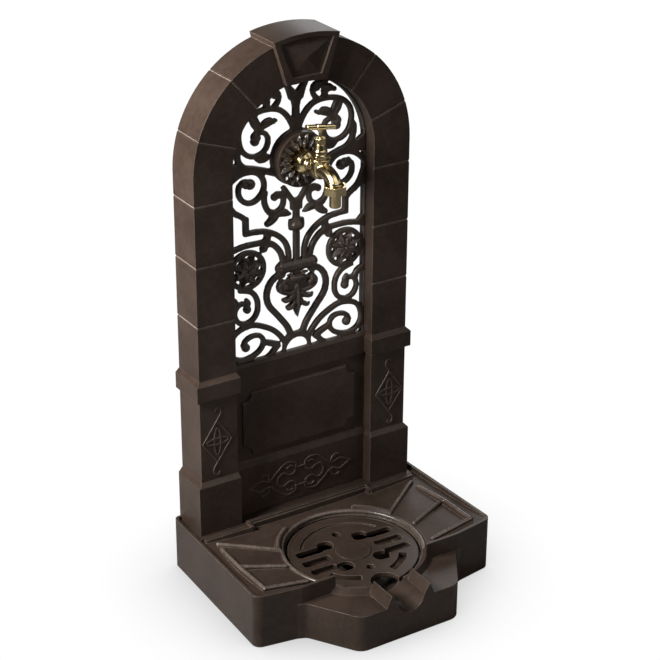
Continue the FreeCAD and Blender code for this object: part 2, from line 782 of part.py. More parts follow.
for x, z, radius in right_discs:
    flat.append(disc(x, z, radius))
    flat.append(disc(-x, z, radius))
daisy_x = 75.0
daisy_z = 429.5
for side in (-1, 1):
    flat.append(disc(side * daisy_x, daisy_z, 28).cut(disc(side * daisy_x, daisy_z, 21.5)))
    flat.append(disc(side * daisy_x, daisy_z, 8))
    for i in range(8):
        angle = math.radians(22.5 + 45 * i)
        c = math.cos(angle)
        s = math.sin(angle)
        leaf = [(4, 0), (10, 5.2), (16, 5.4), (23, 0), (16, -5.4), (10, -5.2)]
        spots = [(side * daisy_x + c * a - s * b, daisy_z + s * a + c * b) for a, b in leaf]
        flat.append(flat_polygon(spots))
sheet_face = joined(flat)
dome = disc(0, 298, 18).cut(flat_polygon([(-30, 270), (30, 270), (30, 298), (-30, 298)]))
notches = [dome, disc(7, 409, 2.2), disc(-7, 409, 2.2)]
notches.append(flat_polygon([(0, 514), (7, 530.5), (-7, 530.5)]))
notches.append(flat_polygon([(0, 660.5), (10, 671.5), (-10, 671.5)]))
for item in notches:
    sheet_face = sheet_face.cut(item)
disc_back = disc(0, num("rosette_z"), 34)
sheet_face = sheet_face.fuse(disc_back).removeSplitter()


def arch_face(radius, low):
    top = spring.value
    a = vec(-radius, 0, low)
    b = vec(-radius, 0, top)
    c = vec(radius, 0, top)
    d = vec(radius, 0, low)
    edges = [Part.makeLine(a, b), Part.Arc(b, vec(0, 0, top + radius), c).toShape(), Part.makeLine(c, d),
             Part.makeLine(d, a)]
    return Part.Face(Part.Wire(edges))


grille_y = num("front_y") + num("grille_front")
edge_reach = num("arch_inner") - num("grille_gap")
trimmed = sheet_face.common(arch_face(edge_reach, 288))
bars = [face.extrude(vec(0, num("grille_bar"), 0)) for face in trimmed.Faces]
bars = [item.translated(vec(0, grille_y, 0)) for item in bars]
band_face = arch_face(edge_reach, 288).cut(arch_face(edge_reach - num("grille_band"), 280))
flange_y = num("front_y") + num("inner_leg") + num("flange_gap")
band = band_face.extrude(vec(0, flange_y + num("flange_thick") - grille_y - 0.2, 0))
band = band.translated(vec(0, grille_y + 0.2, 0))
flange_face = arch_face(num("flange_reach"), num("flange_low")).cut(arch_face(edge_reach - 1.6, 280))
rail_face = flat_polygon([(-num("flange_reach"), 285), (num("flange_reach"), 285), (num("flange_reach"), 296),
                          (-num("flange_reach"), 296)])
flange_face = flange_face.fuse(rail_face).removeSplitter()
screw_spots = [(s * num("boss_x"), h) for s in (-1, 1) for h in (310.0, 440.0, 560.0)]
for angle in (38.0, 142.0):
    screw_spots.append((math.cos(math.radians(angle)) * num("boss_x"),
                        num("spring_z") + math.sin(math.radians(angle)) * num("boss_x")))
for x, z in screw_spots:
    flange_face = flange_face.cut(disc(x, z, num("screw_radius") + 0.25))
flange = flange_face.extrude(vec(0, num("flange_thick"), 0)).translated(vec(0, flange_y, 0))
rail = Part.makeBox(2 * edge_reach, flange_y + num("flange_thick") - grille_y, 8,
                    vec(-edge_reach, grille_y, 288))
proud = []
bead = Part.makeCylinder(8, 48, vec(-24, grille_y + 4.5, 421), vec(1, 0, 0))
proud.append(bead)
for side in (-1, 1):
    proud.append(Part.makeSphere(8, vec(side * 24, grille_y + 4.5, 421)))
    for x, z, radius in ((61, 604, 5.6), (69, 548, 6.8), (79, 319, 5.6), (76, 374, 5.2), (50, 455, 5.2)):
        proud.append(Part.makeSphere(radius, vec(side * x, grille_y + 3, z)))
knob = Part.makeCone(7.5, 11, 7, vec(0, grille_y + 3, 472), vec(0, 0, 1))
knob = knob.fuse(Part.makeCone(11, 6, 8, vec(0, grille_y + 3, 479), vec(0, 0, 1)))
proud.append(knob)
slice_box = Part.makeBox(400, 20, 500, vec(-200, grille_y - 12, 280))
keep = Part.makeBox(400, 12 + num("grille_bar"), 500, vec(-200, grille_y - 12, 280))
proud = [item.common(keep) for item in proud]
grille_solid = bars[0].multiFuse(bars[1:] + [band, flange, rail] + proud)
bore = Part.makeCylinder(num("tube_hole"), 40, vec(0, grille_y - 5, num("tap_z")), vec(0, 1, 0))
grille_solid = grille_solid.cut(bore)
node(shape_node("grille", grille_solid), "scroll_grille")

# rosette: a shallow cup with two rings of leaves
ro = val("rosette_radius")
cup = turned("rosette_cup", [
    (val("tube_hole"), 0), (19, 0), (19, 9), (ro - 4, 9), (ro - 4, 0), (ro - 0.8, 0), (ro - 0.8, 4),
    (ro, 5), (ro, 13.4), (ro - 1.2, 14.6), (ro - 4.5, 14.6), (ro - 5.5, 13.0), (val("tube_hole"), 13.0),
], 0, front + val("grille_front") - 0.1, val("rosette_z"), "-y")
leaves = []
leaf_y = num("front_y") + num("grille_front") - 0.1 - 13.0
for count, r0, r1, halfw, turn in ((16, 25.0, 32.4, 4.4, 0.0), (12, 18.5, 26.0, 4.0, 15.0)):
    for i in range(count):
        a = vec(r0, 0, 0)
        b = vec(r1, 0, 0)
        m = (r0 + r1) / 2
        edges = [Part.Arc(a, vec(m, 0, halfw), b).toShape(), Part.Arc(b, vec(m, 0, -halfw), a).toShape()]
        leaf = Part.Face(Part.Wire(edges)).extrude(vec(0, -num("petal_height") - 0.4, 0))
        leaf.rotate(vec(0, 0, 0), vec(0, 1, 0), turn + 360.0 / count * i)
        leaf.translate(vec(0, leaf_y + 0.4, num("rosette_z")))
        leaves.append(leaf)
leaf_object = shape_node("rosette_leaves", leaves[0].multiFuse(leaves[1:]))
node(fuse("rosette_all", [cup, leaf_object]), "rosette")


# base_shell: deck, rim, seat ring, bowl and spout in one hollow casting
def rounded(points):
    # a closed wire in XY whose corners (x, y, radius) are rounded
    count = len(points)
    edges = []
    starts = []
    ends = []
    for i in range(count):
        p = vec(points[i][0], points[i][1], 0)
        r = points[i][2]
        a = vec(points[i - 1][0], points[i - 1][1], 0) - p
        b = vec(points[(i + 1) % count][0], points[(i + 1) % count][1], 0) - p
        a.normalize()
        b.normalize()
        half_angle = a.getAngle(b) / 2
        reach = r / math.tan(half_angle)
        middle_way = a + b
        middle_way.normalize()
        centre = p + middle_way * (r / math.sin(half_angle))
        starts.append(p + a * reach)
        ends.append(p + b * reach)
        if r > 0:
            edges.append(Part.Arc(starts[-1], centre - middle_way * r, ends[-1]).toShape())
    lines_found = []
    for i in range(count):
        nxt = (i + 1) % count
        if (starts[nxt] - ends[i]).Length > 1e-6:
            lines_found.append(Part.makeLine(ends[i], starts[nxt]))
    return Part.Wire(Part.__sortEdges__(edges + lines_found))


def prism(points, z0, z1):
    face = Part.Face(rounded(points))
    return face.extrude(vec(0, 0, z1 - z0)).translated(vec(0, 0, z0))


fy = num("front_y")
back_y = fy + num("frame_depth")
rear_half = num("base_rear_half")
front_half = num("base_front_half")
wing_y = fy + num("wing_front_y")
root_y = fy + num("wing_root_y")
bulge_y = fy + num("bulge_front_y")
root_x = num("root_half")
bulge_x = num("bulge_half")
ring_y = fy + num("ring_y")
bw = num("base_wall")
wing_points = [(-rear_half, back_y, 9), (-front_half, wing_y, 12), (-root_x, root_y, 0.01),
               (root_x, root_y, 0.01), (front_half, wing_y, 12), (rear_half, back_y, 9)]
bulge_points = [(-root_x - 12, root_y + 30, 0.01), (-root_x - 12, root_y + 3, 0.01),
                (-root_x + 5, root_y - 3.5, 12), (-bulge_x, bulge_y, 20),
                (bulge_x, bulge_y, 20), (root_x - 5, root_y - 3.5, 12), (root_x + 12, root_y + 3, 0.01),
                (root_x + 12, root_y + 30, 0.01)]
wing = prism([(x, y, r) for x, y, r in wing_points], 0, 90)
bulge = prism(bulge_points, 0, num("bulge_z"))
inner_points = [(-rear_half + bw, back_y - bw, 5), (-front_half + bw, wing_y + bw, 7),
                (-root_x, root_y + bw, 0.01), (root_x, root_y + bw, 0.01),
                (front_half - bw, wing_y + bw, 7), (rear_half - bw, back_y - bw, 5)]


def rim_height(y):
    t = (y - wing_y) / (back_y - wing_y)
    return num("rim_front_z") + (num("rim_rear_z") - num("rim_front_z")) * t


def deck_height(x, y):
    dy = y - ring_y
    r = max(math.hypot(x, dy), 82.0)
    lip = num("ring_lip")
    return num("ring_z") + 0.13 * (r - lip) - 0.13 * dy * (1 - lip / r)


def deck_tool(shift, way):
    rows = []
    for i in range(15):
        x = -210 + 30 * i
        row = []
        for j in range(11):
            y = -110 + 28 * j
            row.append(vec(x, y, deck_height(x, y) + shift))
        rows.append(row)
    surface = Part.BSplineSurface()
    surface.interpolate(rows)
    return surface.toShape().extrude(vec(0, 0, way))


rim_plane = Part.makePolygon([vec(0, -300, rim_height(-300)), vec(0, 300, rim_height(300)),
                              vec(0, 300, 200), vec(0, -300, 200), vec(0, -300, rim_height(-300))])
above_rim = Part.Face(rim_plane).extrude(vec(500, 0, 0)).translated(vec(-250, 0, 0))
wing = wing.cut(above_rim)
rw = num("rim_width")
deck_points = [(-rear_half + rw, back_y - rw, 6), (-front_half + rw, wing_y + rw, 8),
               (-root_x, root_y + rw, 0.01), (root_x, root_y + rw, 0.01),
               (front_half - rw, wing_y + rw, 8), (rear_half - rw, back_y - rw, 6)]
deck_column = prism(deck_points, 40, 120)
wing = wing.cut(deck_column.common(deck_tool(0, 80)))
ring_cone = Part.makeCone(num("ring_foot"), num("ring_lip"), num("ring_z") - 44, vec(0, ring_y, 44))
spout_height = num("cheek_z")
cheek = num("cheek_half")
foot_half = num("cheek_foot_half")
inner_half = num("trough_radius")
spout_outline = [(-foot_half, 20), (-foot_half, 52), (-cheek, spout_height), (-inner_half, 56),
                 (inner_half, 56), (cheek, spout_height), (foot_half, 52), (foot_half, 20), (-foot_half, 20)]
spout_section = [vec(x, bulge_y, z) for x, z in spout_outline]
spout = Part.Face(Part.makePolygon(spout_section)).extrude(vec(0, 42, 0))
base = wing.multiFuse([bulge, ring_cone, spout])

cavity = prism(inner_points, -1, 90).common(deck_tool(-6.5, -140))
bulge_shell = [(x * 0.955, y + (4.5 if y < root_y - 20 else 8), max(r - 5, 0.01)) for x, y, r in bulge_points]
bulge_inner = prism(bulge_shell, -1, num("bulge_z") - bw)
cavity = cavity.fuse(bulge_inner)
keep_bowl = Part.makeCylinder(num("bowl_outer"), 60, vec(0, ring_y, num("bowl_floor_z") - 5))
keep_spout = Part.makeBox(60, 70, 40, vec(-30, bulge_y - 5, 28))
cavity = cavity.cut(keep_bowl).cut(keep_spout)
bolt_spots = [(s * x, fy + y) for s in (-1, 1) for x, y in ((146.0, 14.0), (134.0, 40.0))]
for x, y in bolt_spots:
    cavity = cavity.cut(Part.makeCylinder(12, 40, vec(x, y, 48)))
base = base.cut(cavity)

seat_z = num("grate_top") - num("grate_thick") - 0.1
cuts = [
    Part.makeCylinder(num("ring_bore"), 60, vec(0, ring_y, seat_z)),
    Part.makeCone(num("ring_bore"), num("ring_lip") - 0.5, num("ring_z") - num("grate_top") + 0.2,
                  vec(0, ring_y, num("grate_top"))),
    Part.makeCylinder(num("ring_lip") - 0.6, 30, vec(0, ring_y, num("ring_z") + 0.1)),
    Part.makeCylinder(num("seat_radius"), 40, vec(0, ring_y, num("bowl_floor_z"))),
    Part.makeCylinder(num("drain_hole"), 60, vec(0, ring_y, -5)),
]
trough_z = num("lip_z") + num("trough_radius")
trough = Part.makeCylinder(num("trough_radius"), 62, vec(0, bulge_y - 3, trough_z), vec(0, 1, 0))
cuts.append(trough)
cuts.append(Part.makeBox(2 * num("trough_radius"), 62, 30, vec(-num("trough_radius"), bulge_y - 3, trough_z)))
for item in cuts:
    base = base.cut(item)


def tapered_bar(start, end, low_width, top_width, height):
    # a bevelled bar whose top runs between two points
    along = vec(end[0] - start[0], end[1] - start[1], 0)
    along.normalize()
    across = vec(-along.y, along.x, 0)
    wires = []
    for p in (start, end):
        top = vec(p[0], fy + p[1], p[2])
        down = vec(0, 0, -height)
        pts = [top - across * top_width / 2, top + across * top_width / 2,
               top + across * low_width / 2 + down, top - across * low_width / 2 + down]
        wires.append(Part.makePolygon(pts + [pts[0]]))
    return Part.makeLoft(wires, True, True)


def arc_bar(profile, low_angle, high_angle):
    # part of a ring about the origin, from its section (radius, height)
    face = Part.Face(Part.makePolygon([vec(r, 0, z) for r, z in profile + [profile[0]]]))
    solid_bar = face.revolve(vec(0, 0, 0), vec(0, 0, 1), high_angle - low_angle)
    solid_bar.rotate(vec(0, 0, 0), vec(0, 0, 1), low_angle)
    return solid_bar


added = []
bars_top = [
    ((156.8, -30.8, 68.9), (88.5, -77.8, 62.6)),
    ((161.2, -100.0, 72.8), (102.5, -117.4, 63.2)),
    ((162.4, -164.8, 75.7), (99.0, -167.0, 66.4)),
    ((158.3, -43.6, 68.6), (163.5, -102.0, 73.3)),
    ((163.5, -102.0, 73.3), (163.0, -166.0, 75.9)),
]
for start, end in bars_top:
    for s in (-1, 1):
        low_end = (s * start[0], start[1], start[2])
        high_end = (s * end[0], end[1], end[2])
        added.append(tapered_bar(low_end, high_end, 9.5, 5.5, 8))
arc_profile = [(94.5, 56.0), (94.5, 61.0), (99.0, 65.0), (103.5, 65.0), (106.0, 60.0), (106.0, 56.0)]
for low, high in ((27, 58), (122, 153)):
    added.append(arc_bar(arc_profile, low, high).translated(vec(0, ring_y, 0)))
# raised border at the feet of the upright
border = [((168.0, -17.0, 70.6), (96.0, -17.0, 70.2)), ((96.0, -19.5, 70.2), (96.0, -5.0, 72.6)),
          ((96.0, -7.0, 72.6), (0.0, -7.0, 72.6))]
for start, end in border:
    for s in (-1, 1):
        added.append(tapered_bar((s * start[0], start[1], start[2]), (s * end[0], end[1], end[2]), 9, 5, 10))
pad_front = Part.makeBox(2 * 172.0, 66.0, 12, vec(-172.0, fy - 12.0, num("foot_z") - 12.05))
added.append(pad_front)
base = base.multiFuse(added)
for x, y in bolt_spots:
    base = base.cut(Part.makeCylinder(num("bolt_hole"), 60, vec(x, y, 30)))
# the rear rim is lowered where the upright stands on it
rear_seat = num("plinth_half") + 0.4
base = base.cut(Part.makeBox(2 * rear_seat, 20, 20, vec(-rear_seat, back_y - 10, num("foot_z") - 0.05)))
base = base.cut(Part.makeCylinder(num("ring_lip") - 6.5, 30, vec(0, ring_y, num("grate_top"))))
base = base.removeSplitter()
node(shape_node("base", base), "base_shell")

# drain_grate: a lift-out disc with slots
gr = val("grate_radius")
gt = val("grate_thick")
grate_disc = turned("grate_disc", [
    (0, 0), (gr - 1, 0), (gr, 1), (gr, gt - 0.8), (gr - 0.8, gt), (0, gt),
], 0, 0, 0)


def slot_tool(x, y, length, width, corner):
    a = length / 2
    b = width / 2
    return prism([(x - a, y - b, corner), (x + a, y - b, corner),
                  (x + a, y + b, corner), (x - a, y + b, corner)], -5, 15)


slots = []
for s in (-1, 1):
    slots.append(slot_tool(s * 54, 23, 39, 14, 4.5))
    slots.append(slot_tool(s * 27, 28, 22, 20, 8))
    slots.append(slot_tool(s * 55.5, -0.6, 42, 14, 4.5))
    slots.append(slot_tool(s * 56.5, -22.6, 38, 13, 4.5))
    slots.append(slot_tool(s * 28, -28.7, 24, 21, 9))
    slots.append(Part.makeCylinder(5.8, 20, vec(0, s * 46, -5)))
for low, high in ((213, 250), (290, 327)):
    slots.append(arc_bar([(62, -5), (73, -5), (73, 15), (62, 15)], low, high))
# a shallow groove along the rear
top = gt.value
slots.append(arc_bar([(67.6, top + 1), (67.6, top), (69.8, top - 2.2), (71.4, top - 2.2), (71.4, top + 1)],
                      33, 150))
slots.append(Part.makeCylinder(19.5, 20, vec(0, -84, -5)))
slot_object = shape_node("grate_slots", slots[0].multiFuse(slots[1:]))
grate_cut = cut("grate_cut", grate_disc, [slot_object])
place(grate_cut, 0, front + val("ring_y"), val("grate_top") - val("grate_thick"),
      FreeCAD.Rotation(vec(0, 0, 1), num("grate_turn")))
node(grate_cut, "drain_grate")

# drain outlet under the bowl
dt = val("drain_tube")
db = val("drain_bore")
bowl_z = val("bowl_floor_z")
drain_x = 0
drain_y = front + val("ring_y")
node(turned("drain_spigot", [
    (db, 0), (dt - 1.0, 0), (dt - 0.4, 0.6), (dt - 0.4, 9.0), (dt, 9.0), (dt, 23),
    (18.5, 23), (18.5, 24.6), (17.6, 25.5), (db + 1, 25.5), (db, 24.5),
], drain_x, drain_y, bowl_z + 1.6 - 23), "drain_outlet")
seal_section = [(dt + 0.2, 0), (18, 0), (18, 1.5), (dt + 0.2, 1.5)]
node(turned("drain_ring", seal_section, drain_x, drain_y, bowl_z + 0.05), "drain_seal")
drain_hex = hexagon("drain_hex", 32, 6, drain_x, drain_y, bowl_z - 5 - 6.1)
node(cut("drain_hex_cut", drain_hex, [rod("drain_hex_bore", dt + 0.15, 10, drain_x, drain_y, bowl_z - 13)]),
     "drain_nut")


# fasteners
def screw(name, x, y, z):
    # pan-head screw pointing to the front, head at the back
    head = val("screw_head")
    shank = val("screw_radius")
    profile = [(0, 0), (shank, 0), (shank, 16), (head, 16), (head, 17.6), (head - 1.2, 18.8), (1.4, 18.8),
               (1.4, 17.3), (0, 17.3)]
    return turned(name, profile, x, y, z, "y")


screw_y = leg_y + val("flange_thick") - 16 + 0.05
panel_set = []
for side in (-1, 1):
    for number, height in enumerate((95.0, 180.0, 258.0)):
        panel_set.append(screw(f"panel_screw_{number}_{side + 1}", side * val("boss_x"), screw_y, height))
node(group("panel_screw_set", panel_set), "panel_screws")
grille_set = [screw(f"grille_screw_{i}", x, screw_y, z) for i, (x, z) in enumerate(screw_spots)]
node(group("grille_screw_set", grille_set), "grille_screws")
bolt_set = []
washer_set = []
nut_set = []
for i, (x, y) in enumerate(bolt_spots):
    br = val("bolt_radius")
    head = hexagon(f"bolt_head_{i}", val("bolt_flat"), 5.3, x, y, 48 - 1.65 - 5.3)
    shank = rod(f"bolt_shank_{i}", br, 37.5, x, y, 48 - 1.65 - 0.2)
    bolt_set.append(fuse(f"bolt_{i}", [head, shank]))
    nut_hexagon = hexagon(f"nut_hexagon_{i}", val("bolt_flat"), 6.5, x, y, foot + 6.05)
    nut_set.append(cut(f"nut_{i}", nut_hexagon, [rod(f"nut_bore_{i}", br + 0.1, 12, x, y, foot + 4)]))
    section = [(br + 0.2, 0), (8.5, 0), (8.5, 1.5), (br + 0.2, 1.5)]
    washer_set.append(turned(f"washer_{i}", section, x, y, 48 - 1.6))
node(group("bolt_set", bolt_set), "upright_bolts")
node(group("washer_set", washer_set), "upright_washers")
node(group("nut_set", nut_set), "upright_nuts")

# tap: all turned pieces stand on the spindle line or on the inlet line
tz = val("tap_z")
sy = front + val("spindle_y")
face_y = front + val("rosette_front") + 2.2
tr = val("tube_radius")
tb = val("tube_bore")
hex_len = val("hexagon_length")
hexagon_part = hexagon("inlet_hexagon", val("hexagon_flat"), hex_len, 0, face_y - 1.6, tz, "-y")
hexagon_part.Placement = FreeCAD.Placement(hexagon_part.Placement.Base,
                                           turns["-y"].multiply(FreeCAD.Rotation(vec(0, 0, 1), 30)))
tube = rod("inlet_tube", tr, 36, 0, face_y + 29, tz, "-y")
tube_end = rod("inlet_tube_end", tr - 0.3, 24, 0, face_y + 43.6, tz, "-y")
collar = rod("inlet_collar", 14.2, 3.5, 0, face_y - 1.6 - hex_len, tz, "-y")
barrel = rod("inlet_barrel", val("barrel_radius"), 30, 0, face_y - 1.6 - hex_len, tz, "-y")
chest = turned("valve_chest", [
    (0, 0), (8, 0), (11.5, 4), (13, 9), (13, 18), (12, 24), (12, 27.8), (0, 27.8),
], 0, sy, val("bonnet_low") - 27.8)


def bent_tube(radius, points):
    # a round tube along a smooth path in the YZ plane
    curve = Part.BSplineCurve()
    curve.interpolate([vec(0, y, z) for y, z in points])
    path = Part.Wire(curve.toShape())
    start = curve.value(curve.FirstParameter)
    way = curve.tangent(curve.FirstParameter)[0]
    ring_wire = Part.Wire(Part.makeCircle(radius, start, way))
    return path.makePipeShell([ring_wire], True, True)


sy_n = fy + num("spindle_y")
oy = fy + num("outlet_y")
neck_path = [(sy_n + 2, 577), (sy_n - 12, 576.5), (sy_n - 24, 574), (oy + 2.5, 569.5), (oy, 562.2)]
neck = shape_node("outlet_neck", bent_tube(8.8, neck_path))
bore_path = [(sy_n - 6, 585), (sy_n - 14, 579.5), (sy_n - 24, 574.5), (oy + 2.5, 568.5), (oy, 560.0)]
neck_bore = shape_node("outlet_bore", bent_tube(4.5, bore_path))
outlet_end = rod("outlet_end", val("outlet_radius"), 8, 0, front + val("outlet_y"), 562.3)
outlet_bore = rod("outlet_end_bore", 5, 12, 0, front + val("outlet_y"), 560)
body_solid = fuse("tap_solid", [hexagon_part, tube, tube_end, collar, barrel, chest, neck, outlet_end])
tap_bores = [
    rod("inlet_bore_wide", tb, 40, 0, face_y + 45, tz - 1.5, "-y"),
    rod("inlet_bore_narrow", val("seat_bore"), 60, 0, face_y + 15, tz - 3.5, "-y"),
    rod("inlet_riser", val("seat_bore"), 14, 0, sy, tz - 4),
    rod("chamber", val("chamber_radius"), 30, 0, sy, val("seat_z")),
    neck_bore,
    outlet_bore,
]
node(cut("tap_casting", body_solid, tap_bores), "tap_body")
node(turned("inlet_seal", [(tr + 0.3, 0), (15, 0), (15, 1.5), (tr + 0.3, 1.5)], 0, face_y - 1.55, tz, "y"),
     "tap_flange_seal")
back_y_tap = front + val("grille_front") + val("grille_bar")
node(turned("back_washer", [(tr + 0.3, 0), (17, 0), (17, 1.6), (tr + 0.3, 1.6)], 0, back_y_tap + 0.05, tz, "y"),
     "tap_back_washer")
back_hex = hexagon("back_hex", 27, 6, 0, back_y_tap + 1.7, tz, "y")
node(cut("back_hex_cut", back_hex, [rod("back_hex_bore", tr + 0.1, 12, 0, back_y_tap, tz, "y")]), "tap_back_nut")

sr = val("spindle_radius")
cr = val("chamber_radius")
low = val("bonnet_low")
bore_r = sr + val("spindle_gap")
bonnet_hex = hexagon("bonnet_hex", 21, 6, 0, sy, low + 1.1)
bonnet_turn = turned("bonnet_turn", [
    (0, 0), (cr - 0.2, 0), (cr - 0.2, 4.1), (9.2, 4.1), (9.2, 9.5), (6.8, 15), (6.8, 23.5), (0, 23.5),
], 0, sy, low - 3)
bonnet_fuse = fuse("bonnet_fuse", [bonnet_hex, bonnet_turn])
bonnet_bores = [
    rod("bonnet_bore", bore_r, 40, 0, sy, low - 8),
    rod("bonnet_chamber", 7.2, 12.5, 0, sy, low - 7),
    rod("bonnet_gland_seat", 5.0, 10, 0, sy, low + 14),
]
node(cut("bonnet_cut", bonnet_fuse, bonnet_bores), "bonnet")
node(turned("bonnet_ring", [(cr + 0.1, 0), (11.5, 0), (11.5, 0.9), (cr + 0.1, 0.9)], 0, sy, low + 0.05), "bonnet_seal")
gland_low = low + 14
node(turned("packing", [(bore_r + 0.05, 0), (4.9, 0), (4.9, 3.4), (bore_r + 0.05, 3.4)], 0, sy, gland_low + 0.1),
     "gland_packing")
gland_hex = hexagon("gland_hex", 12.5, 7.0, 0, sy, low + 20.6)
gland_stem = rod("gland_stem", 4.9, 5, 0, sy, low + 17.6)
gland_fuse = fuse("gland_fuse", [gland_hex, gland_stem])
node(cut("gland_cut", gland_fuse, [rod("gland_bore", bore_r, 30, 0, sy, low + 10)]), "gland_nut")
node(turned("spindle_turn", [
    (0, 0), (5.5, 0), (5.5, 2.5), (sr, 2.5), (sr, 44.4), (0, 44.4),
], 0, sy, val("seat_z") + 3.65), "spindle")
valve_z = val("seat_z") + 1.7
node(turned("jumper_turn", [
    (0, 0), (6.6, 0), (6.6, 1.2), (5.0, 1.85), (0, 1.85),
], 0, sy, valve_z), "jumper_valve")
node(turned("jumper_ring", [(0, 0), (6.4, 0), (6.4, 1.6), (0, 1.6)], 0, sy, val("seat_z") + 0.05), "jumper_washer")
hr = val("handle_radius")
handle_low = val("handle_z") - 6.2
tee_bar = rod("tee_bar", hr, 2 * val("handle_half"), -val("handle_half"), 0, 6.2, "x")
tee_hub = turned("tee_hub", [(0, 0), (5.2, 0), (5.2, 6.5), (4.0, 10.5), (0, 10.5)], 0, 0, 0)
tee_fuse = fuse("tee_fuse", [tee_bar, tee_hub])
tee_cut = cut("tee_cut", tee_fuse, [rod("tee_bore", sr + 0.02, 6.1, 0, 0, -0.8)])
place(tee_cut, 0, sy, handle_low, FreeCAD.Rotation(vec(0, 0, 1), num("handle_angle")))
node(tee_cut, "tee_handle")

ty = front + val("outlet_y")
nut_hex = hexagon("spout_hex", 27, val("nut_high") - val("nut_low"), 0, ty, val("nut_low"))
nut_bores = [
    rod("spout_nut_bore", val("tail_radius") + 0.3, 20, 0, ty, val("nut_low") - 2),
    rod("spout_nut_thread", 11.2, 20, 0, ty, val("nut_low") + 2),
]
node(cut("spout_nut_cut", nut_hex, nut_bores), "spout_nut")
node(turned("tail_turn", [
    (val("tail_bore"), 0), (val("tail_radius") - 0.8, 0), (val("tail_radius"), 1.0), (val("tail_radius"), 17.4),
    (val("tail_radius") - 0.3, 17.4), (val("tail_radius") - 0.3, 20.4), (10.6, 20.4), (10.6, 23.4), (val("tail_bore"), 23.4),
], 0, ty, val("tail_low")), "hose_tail")
node(turned("tail_ring", [(5.2, 0), (9.0, 0), (9.0, 1.6), (5.2, 1.6)], 0, ty, val("tail_low") + 23.45),
     "hose_tail_washer")

doc.recompute()
for obj in doc.Objects:
    if "Invalid" in obj.State or "Error" in obj.State:
        raise RuntimeError("bad object " + obj.Name)
facets = 0
for obj in nodes:
    shape = obj.Shape
    if shape.isNull() or not shape.isValid():
        print("bad shape", obj.Label, shape.isNull())
    box_found = shape.BoundBox
    solids = len(shape.Solids)
    count = len(shape.tessellate(0.4)[1])
    facets += count
    print(f"{obj.Label}: solids {solids} volume {shape.Volume:.0f} facets {count} "
          f"x {box_found.XMin:.1f}..{box_found.XMax:.1f} y {box_found.YMin:.1f}..{box_found.YMax:.1f} "
          f"z {box_found.ZMin:.1f}..{box_found.ZMax:.1f}")
    shape.exportStep(f"parts/{obj.Label}.step")
print("facets", facets, "nodes", len(nodes))
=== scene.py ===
import json
import math

import bpy
from mathutils import Matrix, Vector


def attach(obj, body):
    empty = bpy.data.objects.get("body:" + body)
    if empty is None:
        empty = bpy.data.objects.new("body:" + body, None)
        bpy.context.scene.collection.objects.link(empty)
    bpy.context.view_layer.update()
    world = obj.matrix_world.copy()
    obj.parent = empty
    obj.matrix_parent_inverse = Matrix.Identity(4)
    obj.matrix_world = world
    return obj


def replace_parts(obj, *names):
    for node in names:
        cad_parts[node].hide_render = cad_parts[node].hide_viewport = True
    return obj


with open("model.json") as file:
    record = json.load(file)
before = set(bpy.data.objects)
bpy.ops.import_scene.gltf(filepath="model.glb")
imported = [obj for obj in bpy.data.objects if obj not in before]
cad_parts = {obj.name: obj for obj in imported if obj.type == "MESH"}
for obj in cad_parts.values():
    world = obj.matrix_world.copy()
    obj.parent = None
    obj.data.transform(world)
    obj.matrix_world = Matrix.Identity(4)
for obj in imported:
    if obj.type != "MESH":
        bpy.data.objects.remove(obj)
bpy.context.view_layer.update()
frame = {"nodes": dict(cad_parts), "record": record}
nodes = frame["nodes"]
scene = bpy.context.scene
coarse = 1.0
voxelShare = coarse ** 0.5
print("frame loaded", len(nodes))


# small helpers for node trees
def newGroup(name, inputs, outputs):
    tree = bpy.data.node_groups.new(name, "ShaderNodeTree")
    for label, kind, value in inputs:
        socket = tree.interface.new_socket(name=label, in_out="INPUT", socket_type=kind)
        socket.default_value = value
    for label, kind in outputs:
        tree.interface.new_socket(name=label, in_out="OUTPUT", socket_type=kind)
    return tree, tree.nodes.new("NodeGroupInput"), tree.nodes.new("NodeGroupOutput")


def mathNode(tree, operation, a, b=None):
    made = tree.nodes.new("ShaderNodeMath")
    made.operation = operation
    for index, value in enumerate((a, b)):
        if value is None:
            continue
        if isinstance(value, (int, float)):
            made.inputs[index].default_value = value
        else:
            tree.links.new(value, made.inputs[index])
    return made.outputs[0]


def clampNode(tree, value):
    return mathNode(tree, "MINIMUM", mathNode(tree, "MAXIMUM", value, 0.0), 1.0)


def noiseNode(tree, scale, detail, roughness=0.5):
    coords = tree.nodes.new("ShaderNodeTexCoord")
    made = tree.nodes.new("ShaderNodeTexNoise")
    made.inputs["Detail"].default_value = detail
    made.inputs["Roughness"].default_value = roughness
    tree.links.new(coords.outputs["Object"], made.inputs["Vector"])
    if isinstance(scale, (int, float)):
        made.inputs["Scale"].default_value = scale
    else:
        tree.links.new(scale, made.inputs["Scale"])
    return made.outputs["Fac"]


def mixColor(tree, factor, a, b):
    made = tree.nodes.new("ShaderNodeMix")
    made.data_type = "RGBA"
    for socket, value in ((made.inputs[0], factor), (made.inputs[6], a), (made.inputs[7], b)):
        if isinstance(value, tuple):
            socket.default_value = value
        else:
            tree.links.new(value, socket)
    return made.outputs[2]


def weighNode(tree, a, b, share):
    # share of a, the rest of b
    return mathNode(tree, "ADD", mathNode(tree, "MULTIPLY", a, share),
                    mathNode(tree, "MULTIPLY", b, 1 - share))


# soft rounding of every edge, and a mask that is bright on the edges: partly real paint wear, partly
# painted highlight along the edges
wearAndSheenLook = {"samples": 6, "spotScale": 60.0, "spotDetail": 4.0, "spotGain": 1.8}


